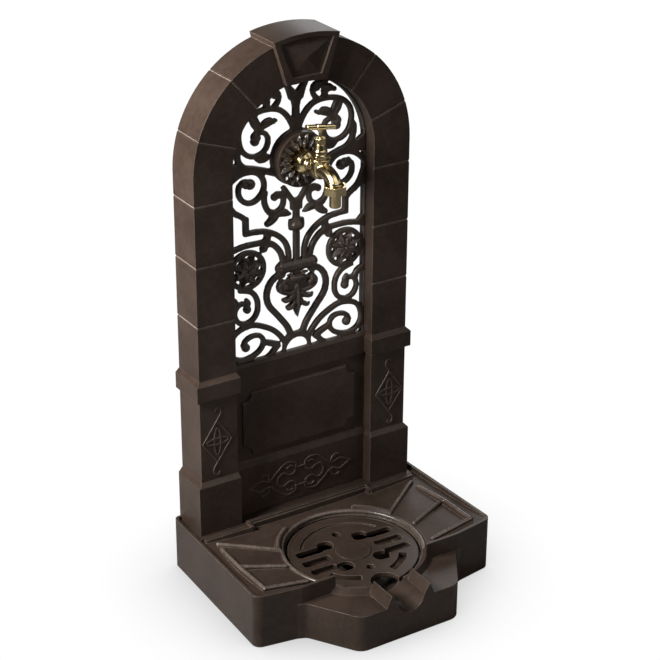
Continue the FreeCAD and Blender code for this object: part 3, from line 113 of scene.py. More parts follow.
def edgeWearAndSheenGroup():
    tree, inp, out = newGroup(
        "edgeWearAndSheen",
        [("radius", "NodeSocketFloat", 0.0012), ("strength", "NodeSocketFloat", 3.0)],
        [("mask", "NodeSocketFloat"), ("normal", "NodeSocketVector")],
    )
    bevel = tree.nodes.new("ShaderNodeBevel")
    bevel.samples = wearAndSheenLook["samples"]
    tree.links.new(inp.outputs["radius"], bevel.inputs["Radius"])
    geometry = tree.nodes.new("ShaderNodeNewGeometry")
    dot = tree.nodes.new("ShaderNodeVectorMath")
    dot.operation = "DOT_PRODUCT"
    tree.links.new(bevel.outputs[0], dot.inputs[0])
    tree.links.new(geometry.outputs["Normal"], dot.inputs[1])
    bend = mathNode(tree, "SUBTRACT", 1.0, dot.outputs["Value"])
    strong = mathNode(tree, "MULTIPLY", bend, inp.outputs["strength"])
    spots = noiseNode(tree, wearAndSheenLook["spotScale"], wearAndSheenLook["spotDetail"])
    spots = mathNode(tree, "MULTIPLY", spots, wearAndSheenLook["spotGain"])
    patchy = mathNode(tree, "MULTIPLY", strong, spots)
    tree.links.new(mathNode(tree, "MINIMUM", patchy, 1.0), out.inputs["mask"])
    tree.links.new(bevel.outputs[0], out.inputs["normal"])
    return tree


# cloudy paint: two scales of noise as a colour mask, and a fine cast grain as height
skinLook = {
    "cloudDetail": 3.0,
    "smallScale": 140.0,
    "smallDetail": 5.0,
    "smallRoughness": 0.65,
    "cloudShare": 0.6,
    "grainDetail": 2.0,
    "grainShare": 0.4,
    "pitScale": 220.0,
    "pitDetail": 3.0,
}


def castSkinGroup():
    tree, inp, out = newGroup(
        "castSkin",
        [("cloudScale", "NodeSocketFloat", 18.0), ("grainScale", "NodeSocketFloat", 900.0)],
        [("clouds", "NodeSocketFloat"), ("height", "NodeSocketFloat")],
    )
    large = noiseNode(tree, inp.outputs["cloudScale"], skinLook["cloudDetail"])
    small = noiseNode(tree, skinLook["smallScale"], skinLook["smallDetail"], skinLook["smallRoughness"])
    tree.links.new(weighNode(tree, large, small, skinLook["cloudShare"]), out.inputs["clouds"])
    grain = noiseNode(tree, inp.outputs["grainScale"], skinLook["grainDetail"])
    pits = noiseNode(tree, skinLook["pitScale"], skinLook["pitDetail"])
    tree.links.new(weighNode(tree, grain, pits, skinLook["grainShare"]), out.inputs["height"])
    return tree


edgeWearAndSheen = edgeWearAndSheenGroup()
castSkin = castSkinGroup()


def newMaterial(name):
    material = bpy.data.materials.new(name)
    material.use_nodes = True
    return material, material.node_tree, material.node_tree.nodes["Principled BSDF"]


def placeGroup(tree, group, values):
    made = tree.nodes.new("ShaderNodeGroup")
    made.node_tree = group
    for label, value in values.items():
        made.inputs[label].default_value = value
    return made


def bumpOn(tree, shader, height, normal, look):
    bump = tree.nodes.new("ShaderNodeBump")
    bump.inputs["Strength"].default_value = look["bumpStrength"]
    bump.inputs["Distance"].default_value = look["bumpDistance"]
    tree.links.new(height, bump.inputs["Height"])
    tree.links.new(normal, bump.inputs["Normal"])
    tree.links.new(bump.outputs[0], shader.inputs["Normal"])


def roughOn(tree, shader, clouds, look):
    # the roughness wanders a little with the clouds
    spread = look["roughSpread"]
    wander = mathNode(tree, "MULTIPLY", clouds, spread)
    rough = mathNode(tree, "ADD", look["roughness"] - spread / 2, wander)
    tree.links.new(rough, shader.inputs["Roughness"])


# the castings' paint
paintLook = {
    "dark": (0.046, 0.030, 0.022, 1),
    "light": (0.076, 0.051, 0.039, 1),
    # light edge colour: real paint wear and painted highlight on the edges
    "wornAndSheen": (0.30, 0.235, 0.19, 1),
    "cloudStart": 0.38,
    "cloudGain": 4.2,
    "roughness": 0.40,
    "roughSpread": 0.12,
    "specular": 0.2,
    "metallic": 0.0,
    "edgeRadius": 0.0014,
    "edgeStrength": 2.4,
    "cloudScale": 16.0,
    "grainScale": 900.0,
    "bumpStrength": 0.35,
    "bumpDistance": 0.0004,
}


def paintedMaterial(name, changes):
    look = {**paintLook, **changes}
    material, tree, shader = newMaterial(name)
    wearAndSheen = placeGroup(tree, edgeWearAndSheen, {"radius": look["edgeRadius"], "strength": look["edgeStrength"]})
    skin = placeGroup(tree, castSkin, {"cloudScale": look["cloudScale"], "grainScale": look["grainScale"]})
    clouds = skin.outputs["clouds"]
    ramp = mathNode(tree, "SUBTRACT", clouds, look["cloudStart"])
    ramp = clampNode(tree, mathNode(tree, "MULTIPLY", ramp, look["cloudGain"]))
    painted = mixColor(tree, ramp, look["dark"], look["light"])
    # the edges lightened by the mask: real paint wear and painted highlight
    tree.links.new(mixColor(tree, wearAndSheen.outputs["mask"], painted, look["wornAndSheen"]), shader.inputs["Base Color"])
    roughOn(tree, shader, clouds, look)
    bumpOn(tree, shader, skin.outputs["height"], wearAndSheen.outputs["normal"], look)
    shader.inputs["Metallic"].default_value = look["metallic"]
    shader.inputs["Specular IOR Level"].default_value = look["specular"]
    return material


bronzePaint = paintedMaterial("bronzePaint", {})
gratePaint = paintedMaterial("gratePaint", {
    "dark": (0.038, 0.026, 0.019, 1),
    "light": (0.062, 0.042, 0.031, 1),
})
# a lighter copy of the castings' paint with stronger edge lightening: painted light on the recessed bars
grilleLitPaint = paintedMaterial("grilleLitPaint", {
    "dark": (0.062, 0.043, 0.033, 1),
    "light": (0.110, 0.080, 0.062, 1),
    "roughness": 0.34,
    "specular": 0.5,
    "edgeStrength": 3.2,
})
# the strong edge mask paints bright crest lines on the leaves: painted highlight
leafPaint = paintedMaterial("leafPaint", {
    "dark": (0.030, 0.021, 0.016, 1),
    "light": (0.060, 0.043, 0.034, 1),
    "roughness": 0.24,
    "specular": 0.8,
    "edgeRadius": 0.0009,
    "edgeStrength": 3.5,
})
# a darker copy of the castings' paint for the base: painted shade
baseShadedPaint = paintedMaterial("baseShadedPaint", {
    "dark": (0.037, 0.0245, 0.018, 1),
    "light": (0.062, 0.042, 0.032, 1),
    "roughness": 0.36,
})
# a lighter, glossier copy of the castings' paint: painted highlight on the deck's crests
ridgeHighlightPaint = paintedMaterial("ridgeHighlightPaint", {
    "dark": (0.075, 0.054, 0.042, 1),
    "light": (0.155, 0.12, 0.096, 1),
    "roughness": 0.27,
    "specular": 0.6,
})
# light paint for the joint strips: painted highlight
jointHighlightPaint = paintedMaterial("jointHighlightPaint", {
    "dark": (0.24, 0.185, 0.15, 1),
    "light": (0.42, 0.35, 0.30, 1),
})

# bare metal and rubber
metalLook = {
    "cloudDetail": 3.0,
    "roughSpread": 0.1,
    "bumpScale": 300.0,
    "bumpDetail": 3.0,
    "bumpStrength": 0.2,
    "bumpDistance": 0.0002,
}


def metalMaterial(name, changes):
    look = {**metalLook, **changes}
    material, tree, shader = newMaterial(name)
    wearAndSheen = placeGroup(tree, edgeWearAndSheen, {"radius": look["edgeRadius"]})
    clouds = noiseNode(tree, look["cloudScale"], look["cloudDetail"])
    tree.links.new(mixColor(tree, clouds, look["dark"], look["light"]), shader.inputs["Base Color"])
    roughOn(tree, shader, clouds, look)
    height = noiseNode(tree, look["bumpScale"], look["bumpDetail"])
    bumpOn(tree, shader, height, wearAndSheen.outputs["normal"], look)
    shader.inputs["Metallic"].default_value = look["metallic"]
    return material


brassMetal = metalMaterial("brassMetal", {
    "dark": (0.60, 0.45, 0.20, 1),
    "light": (0.84, 0.69, 0.40, 1),
    "roughness": 0.20,
    "metallic": 1.0,
    "edgeRadius": 0.0006,
    "cloudScale": 120.0,
})
# near-black brass for the drain outlet down in the bowl: painted shade
brassPaintedShade = metalMaterial("brassPaintedShade", {
    "dark": (0.030, 0.022, 0.012, 1),
    "light": (0.055, 0.042, 0.025, 1),
    "roughness": 0.5,
    "metallic": 0.6,
    "edgeRadius": 0.0003,
    "cloudScale": 200.0,
})
steelMetal = metalMaterial("steelMetal", {
    "dark": (0.45, 0.45, 0.46, 1),
    "light": (0.62, 0.62, 0.63, 1),
    "roughness": 0.35,
    "metallic": 1.0,
    "edgeRadius": 0.0003,
    "cloudScale": 200.0,
})
rubberSkin = metalMaterial("rubberSkin", {
    "dark": (0.02, 0.02, 0.02, 1),
    "light": (0.035, 0.035, 0.035, 1),
    "roughness": 0.7,
    "metallic": 0.0,
    "edgeRadius": 0.0002,
    "cloudScale": 200.0,
})

finishes = {
    "bronze": bronzePaint,
    "bronzeJointHighlight": jointHighlightPaint,
    "bronzeGrilleLit": grilleLitPaint,
    "bronzeRidgeHighlight": ridgeHighlightPaint,
    "bronzeLeaf": leafPaint,
    "grate": gratePaint,
    "brass": brassMetal,
    "rubber": rubberSkin,
    "steel": steelMetal,
}
# the drain outlet and the base get darker paint as painted shade
ownFinishes = {"drain_outlet": brassPaintedShade, "base_shell": baseShadedPaint}  # these differ from their slot
slotOf = {item["node"]: item["material_slot"] for item in frame["record"]["subparts"]}
for name, piece in nodes.items():
    piece.data.materials.clear()
    piece.data.materials.append(ownFinishes.get(name, finishes[slotOf[name]]))
print("materials set")


# closed forms gathered in one mesh; sizes in mm, y towards the back
def newForm():
    return {"points": [], "faces": []}


def addRings(form, rings, loop=False):
    # joins rings of points; a loop closes on itself, other rows get a lid at each end
    start = len(form["points"])
    sides = len(rings[0])
    for ring in rings:
        form["points"].extend(ring)
    for i in range(len(rings) - 1):
        for j in range(sides):
            a = start + i * sides + j
            b = start + i * sides + (j + 1) % sides
            form["faces"].append((a, b, b + sides, a + sides))
    last = start + (len(rings) - 1) * sides
    if loop:
        for j in range(sides):
            k = (j + 1) % sides
            form["faces"].append((last + j, last + k, start + k, start + j))
        return
    form["faces"].append(tuple(start + j for j in reversed(range(sides))))
    form["faces"].append(tuple(last + j for j in range(sides)))


tubeEnd = {"reach": 0.7, "thin": 0.6}  # shares of the radius, so that the ends come out round


def addTube(form, spine, radii, sides=12, squash=1.0):
    spine = [Vector(point) for point in spine]
    first = (spine[0] - spine[1]).normalized()
    last = (spine[-1] - spine[-2]).normalized()
    spine = ([spine[0] + first * radii[0] * tubeEnd["reach"]] + spine
             + [spine[-1] + last * radii[-1] * tubeEnd["reach"]])
    radii = [radii[0] * tubeEnd["thin"]] + list(radii) + [radii[-1] * tubeEnd["thin"]]
    rings = []
    across = None
    for i, point in enumerate(spine):
        ahead = spine[min(i + 1, len(spine) - 1)] - spine[max(i - 1, 0)]
        ahead.normalize()
        if across is None:
            across = ahead.cross(Vector((0, 1, 0)))
            if across.length < 0.1:
                across = ahead.cross(Vector((1, 0, 0)))
        across = (across - ahead * across.dot(ahead)).normalized()
        other = ahead.cross(across) * squash
        ring = []
        for j in range(sides):
            turn = 2 * math.pi * j / sides
            ring.append(point + (across * math.cos(turn) + other * math.sin(turn)) * radii[i])
        rings.append(ring)
    addRings(form, rings)


lineSteps = 5


def smoothLine(points):
    # a curve through the points, with lineSteps points for each one given
    points = [Vector(point) for point in points]
    ends = [points[0] * 2 - points[1]] + points + [points[-1] * 2 - points[-2]]
    made = []
    for i in range(1, len(ends) - 2):
        for k in range(lineSteps):
            t = k / lineSteps
            a, b, c, d = ends[i - 1:i + 3]
            made.append(0.5 * (b * 2 + (c - a) * t + (a * 2 - b * 5 + c * 4 - d) * t * t
                               + (b * 3 - a - c * 3 + d) * t ** 3))
    made.append(points[-1])
    return made


def addHorn(form, points, radii, squash=1.0):
    # a tube along a smooth line, with its own thickness at each point given
    line = smoothLine(points)
    sizes = []
    for i in range(len(line)):
        k = min(i // lineSteps, len(radii) - 2)
        t = (i - k * lineSteps) / lineSteps
        sizes.append(radii[k] * (1 - t) + radii[k + 1] * t)
    addTube(form, line, sizes, squash=squash)


# a petal along its length: place, share of the width, share of the rise
petalShape = ((0.0, 0.30, 0.5), (0.15, 0.75, 0.85), (0.35, 1.0, 1.0),
              (0.6, 0.9, 1.0), (0.82, 0.5, 0.9), (1.0, 0.05, 0.7))
petalEdge = {"lift": 0.15, "shoulder": 0.55}


def addPetal(form, centre, angle, start, reach, half, rise, tilt, sink=2.5):
    # a pointed petal with a crest, laid out from a centre in the upright plane
    out = Vector((math.cos(angle), 0, math.sin(angle)))
    across = Vector((-math.sin(angle), 0, math.cos(angle)))
    shoulder = petalEdge["shoulder"]
    rings = []
    for t, width, height in petalShape:
        base = Vector(centre) + out * (start + (reach - start) * t)
        top = rise * height + tilt * t
        edge = petalEdge["lift"] * top
        w = half * width
        section = [(-w, -sink), (-w, edge), (-shoulder * w, shoulder * top), (0, top),
                   (shoulder * w, shoulder * top), (w, edge), (w, -sink)]
        rings.append([base + across * v - Vector((0, 1, 0)) * h for v, h in section])
    addRings(form, rings)


def addArc(form, centreY, radius, height, lowAngle, highAngle, thick):
    # a level round bar about the middle of the bowl
    line = []
    count = max(6, int((highAngle - lowAngle) / 5))
    for k in range(count + 1):
        turn = math.radians(lowAngle + (highAngle - lowAngle) * k / count)
        line.append((radius * math.cos(turn), centreY + radius * math.sin(turn), height))
    addTube(form, line, [thick] * len(line))


def turnedRings(form, place, axis, profile, sides=40, flats=None, loop=False):
    # rings about an axis; a profile row is radius, height and share of the six-sided outline
    axis = Vector(axis)
    across = Vector((1, 0, 0)) if abs(axis.x) < 0.5 else Vector((0, 1, 0))
    other = axis.cross(across)
    rings = []
    for radius, height, share in profile:
        ring = []
        for j in range(sides):
            turn = 2 * math.pi * (j + 0.5) / sides
            reach = radius
            if flats:
                bend = ((turn + math.pi / 6) % (math.pi / 3)) - math.pi / 6
                reach = radius * (1 - share) + min(flats / 2 / math.cos(bend), radius) * share
            spoke = (across * math.cos(turn) + other * math.sin(turn)) * reach
            ring.append(Vector(place) + axis * height + spoke)
        rings.append(ring)
    addRings(form, rings, loop)


def meshFrom(form):
    mesh = bpy.data.meshes.new("form")
    mesh.from_pydata([tuple(0.001 * c for c in point) for point in form["points"]], [], form["faces"])
    mesh.update()
    return mesh


def shapedMesh(mesh, voxel, swell, rounds, cutter=None):
    # fills a mesh as one casting, swells it a little, rubs its edges soft and bores it
    piece = bpy.data.objects.new("working", mesh)
    scene.collection.objects.link(piece)
    cast = piece.modifiers.new("cast", "REMESH")
    cast.mode = "VOXEL"
    cast.voxel_size = voxel
    cast.use_smooth_shade = True
    if swell:
        grow = piece.modifiers.new("grow", "DISPLACE")
        grow.strength = swell
        grow.mid_level = 0.0
    soft = piece.modifiers.new("soft", "SMOOTH")
    soft.factor = 0.5
    soft.iterations = rounds
    drill = None
    if cutter:
        drill = bpy.data.objects.new("drill", cutter)
        scene.collection.objects.link(drill)
        bore = piece.modifiers.new("bore", "BOOLEAN")
        bore.operation = "DIFFERENCE"
        bore.object = drill
    bpy.context.view_layer.update()
    result = bpy.data.meshes.new_from_object(piece.evaluated_get(bpy.context.evaluated_depsgraph_get()))
    bpy.data.objects.remove(piece)
    if drill:
        bpy.data.objects.remove(drill)
    return result


def newPiece(name, mesh, slot, body="frame", finish=None):
    mesh.name = name
    mesh.materials.clear()
    mesh.materials.append(finishes[finish or slot])
    piece = bpy.data.objects.new(name, mesh)
    scene.collection.objects.link(piece)
    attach(piece, body)
    return piece


# the openwork casting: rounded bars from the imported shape
grilleLook = {"voxel": 0.0013, "quickShare": 1.3, "swell": 0.00055, "rounds": 7}
barVoxel = grilleLook["voxel"] * 1.0
bars = shapedMesh(nodes["scroll_grille"].data.copy(), barVoxel, grilleLook["swell"], grilleLook["rounds"])
castGrille = newPiece("scrollBars", bars, "bronze", finish="bronzeGrilleLit")
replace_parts(castGrille, "scroll_grille")
print("grille bars", len(bars.vertices))

# ornaments that stand on the bars; places are x, depth behind the bars' face and z
ornamentLook = {"face": 122.0, "voxel": 0.0008, "rounds": 2}
face = ornamentLook["face"]
ornaments = newForm()


def addSpray(row, mirror, squash=1.0):
    for line, sizes in row:
        addHorn(ornaments, [(mirror * x, face + depth, z) for x, depth, z in line], sizes, squash)


# pendant leaf: two volutes and two pairs of lobes, its middle rib and its band
pendantLook = {
    "sides": (
        ([(2, 1, 389), (8, 0, 384.5), (17, -0.5, 385), (25.5, -1, 390), (27, -1, 397), (21.5, -1, 401)],
         [2.6, 3.4, 3.7, 3.8, 3.6, 3.0]),
        ([(26, -0.5, 399), (20, -1.5, 396), (18.5, -2, 393.5)], [3.0, 4.0, 4.4]),
        ([(1.5, 0.5, 392), (7, -1.2, 381), (13.5, -1.5, 375), (20, -1, 374), (22.5, -0.5, 377)],
         [2.4, 3.1, 3.3, 3.0, 2.0]),
        ([(1.5, 0.5, 383), (5, -1.2, 371), (9.5, -1.5, 363.5), (15, -1, 361.5), (17.5, -0.5, 364)],
         [2.0, 2.8, 3.0, 2.6, 1.8]),
        ([(2, 0.5, 402), (9, 0, 409), (15, 0, 409.5)], [3.0, 2.6, 1.8]),
    ),
    "rib": (
        ([(0, 0, 398), (0, -2.4, 385), (0, -2.8, 370), (0, -1.5, 358), (0, 0, 346)],
         [2.6, 2.4, 2.8, 2.6, 0.8]),
    ),
    "band": ((-9, -1, 403.5), (-4, -2, 404), (4, -2, 404), (9, -1, 403.5)),
    "bandSizes": (4.0, 4.4, 4.4, 4.0),
}
for mirror in (-1, 1):
    addSpray(pendantLook["sides"], mirror)
addSpray(pendantLook["rib"], 1)
addTube(ornaments, [(x, face + depth, z) for x, depth, z in pendantLook["band"]], pendantLook["bandSizes"])

# collar: rounded bead with lips at its ends and rope turns in its middle
collarLook = {
    "centreY": face + 4.5,
    "centreZ": 421,
    "bead": ((-22, 8.2), (-12, 7.4), (12, 7.4), (22, 8.2)),
    "wrapRadius": 7.6,
    "wrapPoints": 17,
    "wrapStart": 0.45,  # in half turns
    "wrapSweep": 1.1,
    "ropeStart": -12,
    "ropeTurns": 7,
    "ropePitch": 4.0,
    "ropeLean": 3.6,
    "ropeThick": 1.25,
    "lips": (17.5, 25.0),
    "lipThick": 1.5,
}


def addWrap(middle, lean, thick):
    # a thin bead round the front of the collar
    count = collarLook["wrapPoints"]
    radius = collarLook["wrapRadius"]
    line = []
    for k in range(count):
        share = k / (count - 1)
        turn = math.pi * (collarLook["wrapStart"] + collarLook["wrapSweep"] * share)
        y = collarLook["centreY"] + radius * math.cos(turn)
        z = collarLook["centreZ"] + radius * math.sin(turn)
        line.append((middle + lean * (share - 0.5), y, z))
    addTube(ornaments, line, [thick] * count, sides=8)


beadLine = [(x, collarLook["centreY"], collarLook["centreZ"]) for x, thick in collarLook["bead"]]
addTube(ornaments, beadLine, [thick for x, thick in collarLook["bead"]], sides=20)
for i in range(collarLook["ropeTurns"]):
    middle = collarLook["ropeStart"] + collarLook["ropePitch"] * i
    addWrap(middle, collarLook["ropeLean"], collarLook["ropeThick"])
for mirror in (-1, 1):
    for lip in collarLook["lips"]:
        addWrap(mirror * lip, 0.0, collarLook["lipThick"])

# buds and balls: where each stands as x and z, and how thick it is along its line
budLook = {
    "depth": 1.5,
    "squash": 0.85,
    "buds": (
        ([(56, 620), (47.5, 627), (39.5, 628.5), (33, 624.5)], [2.6, 4.2, 4.8, 2.4]),
        ([(69, 637), (63.5, 628), (58, 620)], [2.6, 4.4, 4.0]),
        ([(60.5, 616), (63.5, 611), (59.5, 606.5), (56, 609)], [3.4, 4.6, 5.0, 4.0]),
        ([(38, 661), (43.5, 659), (50, 657.5), (57, 655)], [3.6, 5.0, 5.2, 2.0]),
        ([(26, 502), (19, 500.5), (14, 497), (9.5, 495.5)], [3.4, 4.8, 4.2, 2.0]),
        ([(27.4, 500), (33, 494), (39, 489.5), (44, 488)], [3.4, 4.4, 4.0, 3.8]),
        ([(78, 389), (75, 383), (78.5, 378.5)], [3.2, 4.4, 4.2]),
        ([(79.5, 555), (80, 551), (75, 546.5)], [3.0, 4.2, 4.2]),
    ),
}
for line, sizes in budLook["buds"]:
    for mirror in (-1, 1):
        addSpray([([(x, budLook["depth"], z) for x, z in line], sizes)], mirror, budLook["squash"])

# eight-sided knob on the stem: height and radius of its rows
knobLook = {
    "rows": ((468.5, 5.2), (472, 6.4), (476, 9.2), (480, 11.4), (482.5, 10.2), (486, 7.2), (489.5, 5.2)),
    "sides": 8,
    "depth": 3,
    "squash": 0.8,
}
knobRings = []
for height, radius in knobLook["rows"]:
    ring = []
    for k in range(knobLook["sides"]):
        turn = 2 * math.pi * (k + 0.5) / knobLook["sides"]
        y = face + knobLook["depth"] + knobLook["squash"] * radius * math.sin(turn)
        ring.append(Vector((radius * math.cos(turn), y, height)))
    knobRings.append(ring)
addRings(ornaments, knobRings)

# daisies: eight creased petals, eight small ones on them and a button
daisyLook = {
    "centreX": 75.0,
    "centreZ": 429.5,
    "petals": 8,
    # start, reach, half width, rise and tilt of a petal
    "large": (3.0, 22.8, 5.4, 4.6, 0.4),
    "small": (1.5, 14.0, 4.0, 3.4, 1.4),
    "largeDepth": 0.5,
    "smallDepth": -1.0,
    "buttonDepth": -3.2,
    "button": (3.4, 3.0),
}
petals = newForm()
petalStep = 360 / daisyLook["petals"]
for mirror in (-1, 1):
    x, z = mirror * daisyLook["centreX"], daisyLook["centreZ"]
    for i in range(daisyLook["petals"]):
        angle = math.radians(petalStep * (i + 0.5))
        between = angle + math.radians(petalStep / 2)
        addPetal(petals, (x, face + daisyLook["largeDepth"], z), angle, *daisyLook["large"])
        addPetal(petals, (x, face + daisyLook["smallDepth"], z), between, *daisyLook["small"])
    addTube(ornaments, [(x, face, z), (x, face + daisyLook["buttonDepth"], z)], daisyLook["button"])
ornamentVoxel = ornamentLook["voxel"] * voxelShare
ornamentMesh = shapedMesh(meshFrom(ornaments), ornamentVoxel, 0.0, ornamentLook["rounds"])
newPiece("scrollOrnaments", ornamentMesh, "bronze", finish="bronzeGrilleLit")
newPiece("daisyPetals", meshFrom(petals), "bronze", finish="bronzeGrilleLit")
print("grille ornaments", len(ornamentMesh.vertices))

# strips in every joint between the stones, in light paint that shows as a fine light line: painted
# highlight of the light caught on the grooves' edges
jointLook = {
    "inner": 106.6,
    "outer": 161.6,
    "front": 102.7,
    "rear": 154.0,
    "sideFace": 162.0,
    "frontGap": 0.4,
    "half": 0.75,
    "depth": 1.6,
    "recess": 0.35,
    "crestShare": 0.5,
    "heights": (375.5, 458.8, 541.9),
    "springZ": 574.6,
    "angles": (18.8, 49.3, 130.7, 161.2),
}
joints = newForm()


def jointBar(start, end, across, lift):
    # a four-sided bar from start to end; lift points out of the stone, and the crest lies just inside it
    start, end, across, lift = Vector(start), Vector(end), Vector(across), Vector(lift)
    half, thin = jointLook["half"], jointLook["crestShare"]
    foot, crest = lift * jointLook["depth"], lift * jointLook["recess"]
    rings = []
    for point in (start, end):
        rings.append([
            point - across * half - foot,
            point + across * half - foot,
            point + across * half * thin - crest,
            point - across * half * thin - crest,
        ])
    addRings(joints, rings)


inner, outer, front, rear = (jointLook[part] for part in ("inner", "outer", "front", "rear"))
sideFace, frontGap = jointLook["sideFace"], jointLook["frontGap"]
for mirror in (-1, 1):
    for height in jointLook["heights"]:
        jointBar((mirror * inner, front, height), (mirror * outer, front, height), (0, 0, 1), (0, -1, 0))
        jointBar((mirror * sideFace, front + frontGap, height), (mirror * sideFace, rear, height),
                 (0, 0, 1), (mirror, 0, 0))
for angle in jointLook["angles"]:
    out = Vector((math.cos(math.radians(angle)), 0, math.sin(math.radians(angle))))
    across = Vector((-out.z, 0, out.x))
    spring = Vector((0, front, jointLook["springZ"]))
    jointBar(spring + out * inner, spring + out * outer, across, (0, -1, 0))
    jointBar(spring + out * sideFace + Vector((0, frontGap, 0)),
             spring + out * sideFace + Vector((0, rear - front, 0)), across, out)
# the strips' light paint is painted highlight on the grooves' edges
newPiece("jointHighlightLines", meshFrom(joints), "bronze", finish="bronzeJointHighlight")
print("joint lines", len(joints["faces"]))

# two rings of pointed leaves on the boss behind the tap
rosetteLook = {
    "face": 108.9,
    "centreZ": 573.0,
    "sink": 1.5,
    # count, shift in steps, then start, reach, half width, rise and tilt of a leaf
    "rings": (
        (18, 0.0, 20.0, 35.2, 5.4, 5.0, 0.4),
        (14, 0.5, 16.0, 28.6, 4.8, 5.6, 3.4),
    ),
}
leaves = newForm()
leafCentre = (0, rosetteLook["face"], rosetteLook["centreZ"])
for count, shift, *leaf in rosetteLook["rings"]:
    for i in range(count):
        addPetal(leaves, leafCentre, 2 * math.pi * (i + shift) / count, *leaf, rosetteLook["sink"])
newPiece("rosetteLeaves", meshFrom(leaves), "bronze", finish="bronzeLeaf")
print("rosette leaves", len(leaves["points"]))

# rounded, glossy crests on the ribs of the deck and on the seat ring, in lighter paint as painted highlight
deckLook = {
    "centreY": -18.8,
    "ribs": (
        ((156.8, 71.9, 68.9), (88.5, 24.9, 62.6)),
        ((161.2, 2.7, 72.8), (102.5, -14.7, 63.2)),
        ((162.4, -62.1, 75.7), (99.0, -64.3, 66.4)),
        ((158.3, 59.1, 68.6), (163.5, 0.7, 73.3)),
        ((163.5, 0.7, 73.3), (163.0, -63.3, 75.9)),
    ),
    "crest": 3.1,  # radius of the bar on a rib, and how far it sinks in
    "drop": 1.0,
    # radius, height, start and end angle, thickness
    "arcs": (
        (101.2, 62.9, 28, 57, 2.9),
        (101.2, 62.9, 123, 152, 2.9),
        (95.6, 58.9, -32, 212, 3.0),
    ),
    "voxel": 0.001,
    "rounds": 1,
}
ridges = newForm()
for rib in deckLook["ribs"]:
    for mirror in (-1, 1):
        first, last = (Vector((mirror * x, y, z - deckLook["drop"])) for x, y, z in rib)
        addTube(ridges, [first.lerp(last, k / 4) for k in range(5)], [deckLook["crest"]] * 5)
for arc in deckLook["arcs"]:
    addArc(ridges, deckLook["centreY"], *arc)
ridgeMesh = shapedMesh(meshFrom(ridges), deckLook["voxel"] * voxelShare, 0.0, deckLook["rounds"])
newPiece("deckRidges", ridgeMesh, "bronze", finish="bronzeRidgeHighlight")
print("deck ridges", len(ridgeMesh.vertices))

# low boss and worn rim of the grate
grateLook = {
    "disc": ((24.5, 54.6), (24.5, 55.9), (23.4, 56.4), (18, 56.7)),  # radius and height
    "discSides": 48,
    "rim": (86.4, 54.5, 0, 230, 1.5),  # an arc, as on the deck
    "voxel": 0.0007,
    "rounds": 1,
}
bossForm = newForm()
discRings = []
for radius, height in grateLook["disc"]:
    ring = []
    for j in range(grateLook["discSides"]):
        turn = 2 * math.pi * j / grateLook["discSides"]
        y = deckLook["centreY"] + radius * math.sin(turn)
        ring.append(Vector((radius * math.cos(turn), y, height)))
    discRings.append(ring)
addRings(bossForm, discRings)
addArc(bossForm, deckLook["centreY"], *grateLook["rim"])
bossMesh = shapedMesh(meshFrom(bossForm), grateLook["voxel"] * voxelShare, 0.0, grateLook["rounds"])
newPiece("grateBoss", bossMesh, "grate", "grate")
print("grate boss", len(bossMesh.vertices))

# the tap as it shows outside; profile rows are radius, height and share of the six-sided outline
tapLook = {
    "wallY": 107.3,
    "centreZ": 573.0,
    "spindleY": 65.7,
    "outletY": 30.7,
    "flangeFlats": 31.0,
    "flange": (
        (10.5, -3, 0), (17.9, 0, 1), (17.9, 9, 1), (17.3, 12.5, 0.8), (14.6, 16, 0.3), (11.4, 18.5, 0),
        (10.0, 20, 0), (10.0, 22, 0), (10.8, 22.6, 0), (10.8, 24, 0), (10.0, 24.6, 0), (10.0, 40, 0),
    ),
    "chest": (
        (4, 561.5, 0), (8.6, 563.5, 0), (11.4, 567.5, 0), (12.6, 573, 0), (12.8, 580, 0), (12.2, 584, 0),
        (12.2, 585, 0), (13.0, 585.8, 0), (13.0, 588.6, 0), (12.2, 589.2, 0),
    ),
    "spoutSizes": (11.5, 10.4, 9.6, 9.2, 9.0),
    "outletCollar": ((9.0, 562.4, 0), (10.2, 563.2, 0), (10.2, 566.2, 0), (9.0, 567, 0)),
    "inletTube": (
        (10.4, -3, 0), (10.4, 30.6, 0), (10.15, 31, 0), (10.15, 44.8, 0),
        (9.6, 45.2, 0), (6.7, 45.2, 0), (6.7, 1, 0), (7, -3, 0),
    ),
    "chamber": ((9.2, 581.0, 0), (9.2, 592.0, 0)),
    "voxel": 0.0006,
    "rounds": 4,
}
wallPlace = (0, tapLook["wallY"], tapLook["centreZ"])
spindleY, outletY = tapLook["spindleY"], tapLook["outletY"]
spindlePlace, outletPlace, upward = (0, spindleY, 0), (0, outletY, 0), (0, 0, 1)
tapForm = newForm()
turnedRings(tapForm, wallPlace, (0, -1, 0), tapLook["flange"], sides=48, flats=tapLook["flangeFlats"])
turnedRings(tapForm, spindlePlace, upward, tapLook["chest"])
spout = [(0, spindleY - 1, 574.5), (0, spindleY - 12, 575), (0, spindleY - 23, 573),
         (0, outletY + 4, 568.6), (0, outletY, 562.8)]
addHorn(tapForm, spout, tapLook["spoutSizes"])
turnedRings(tapForm, outletPlace, upward, tapLook["outletCollar"])
turnedRings(tapForm, wallPlace, (0, 1, 0), tapLook["inletTube"], loop=True)
chamber = newForm()
turnedRings(chamber, spindlePlace, upward, tapLook["chamber"])
tapVoxel = tapLook["voxel"] * voxelShare
tapMesh = shapedMesh(meshFrom(tapForm), tapVoxel, 0.0, tapLook["rounds"], cutter=meshFrom(chamber))
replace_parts(newPiece("tapCasting", tapMesh, "brass"), "tap_body")
print("tap casting", len(tapMesh.vertices))

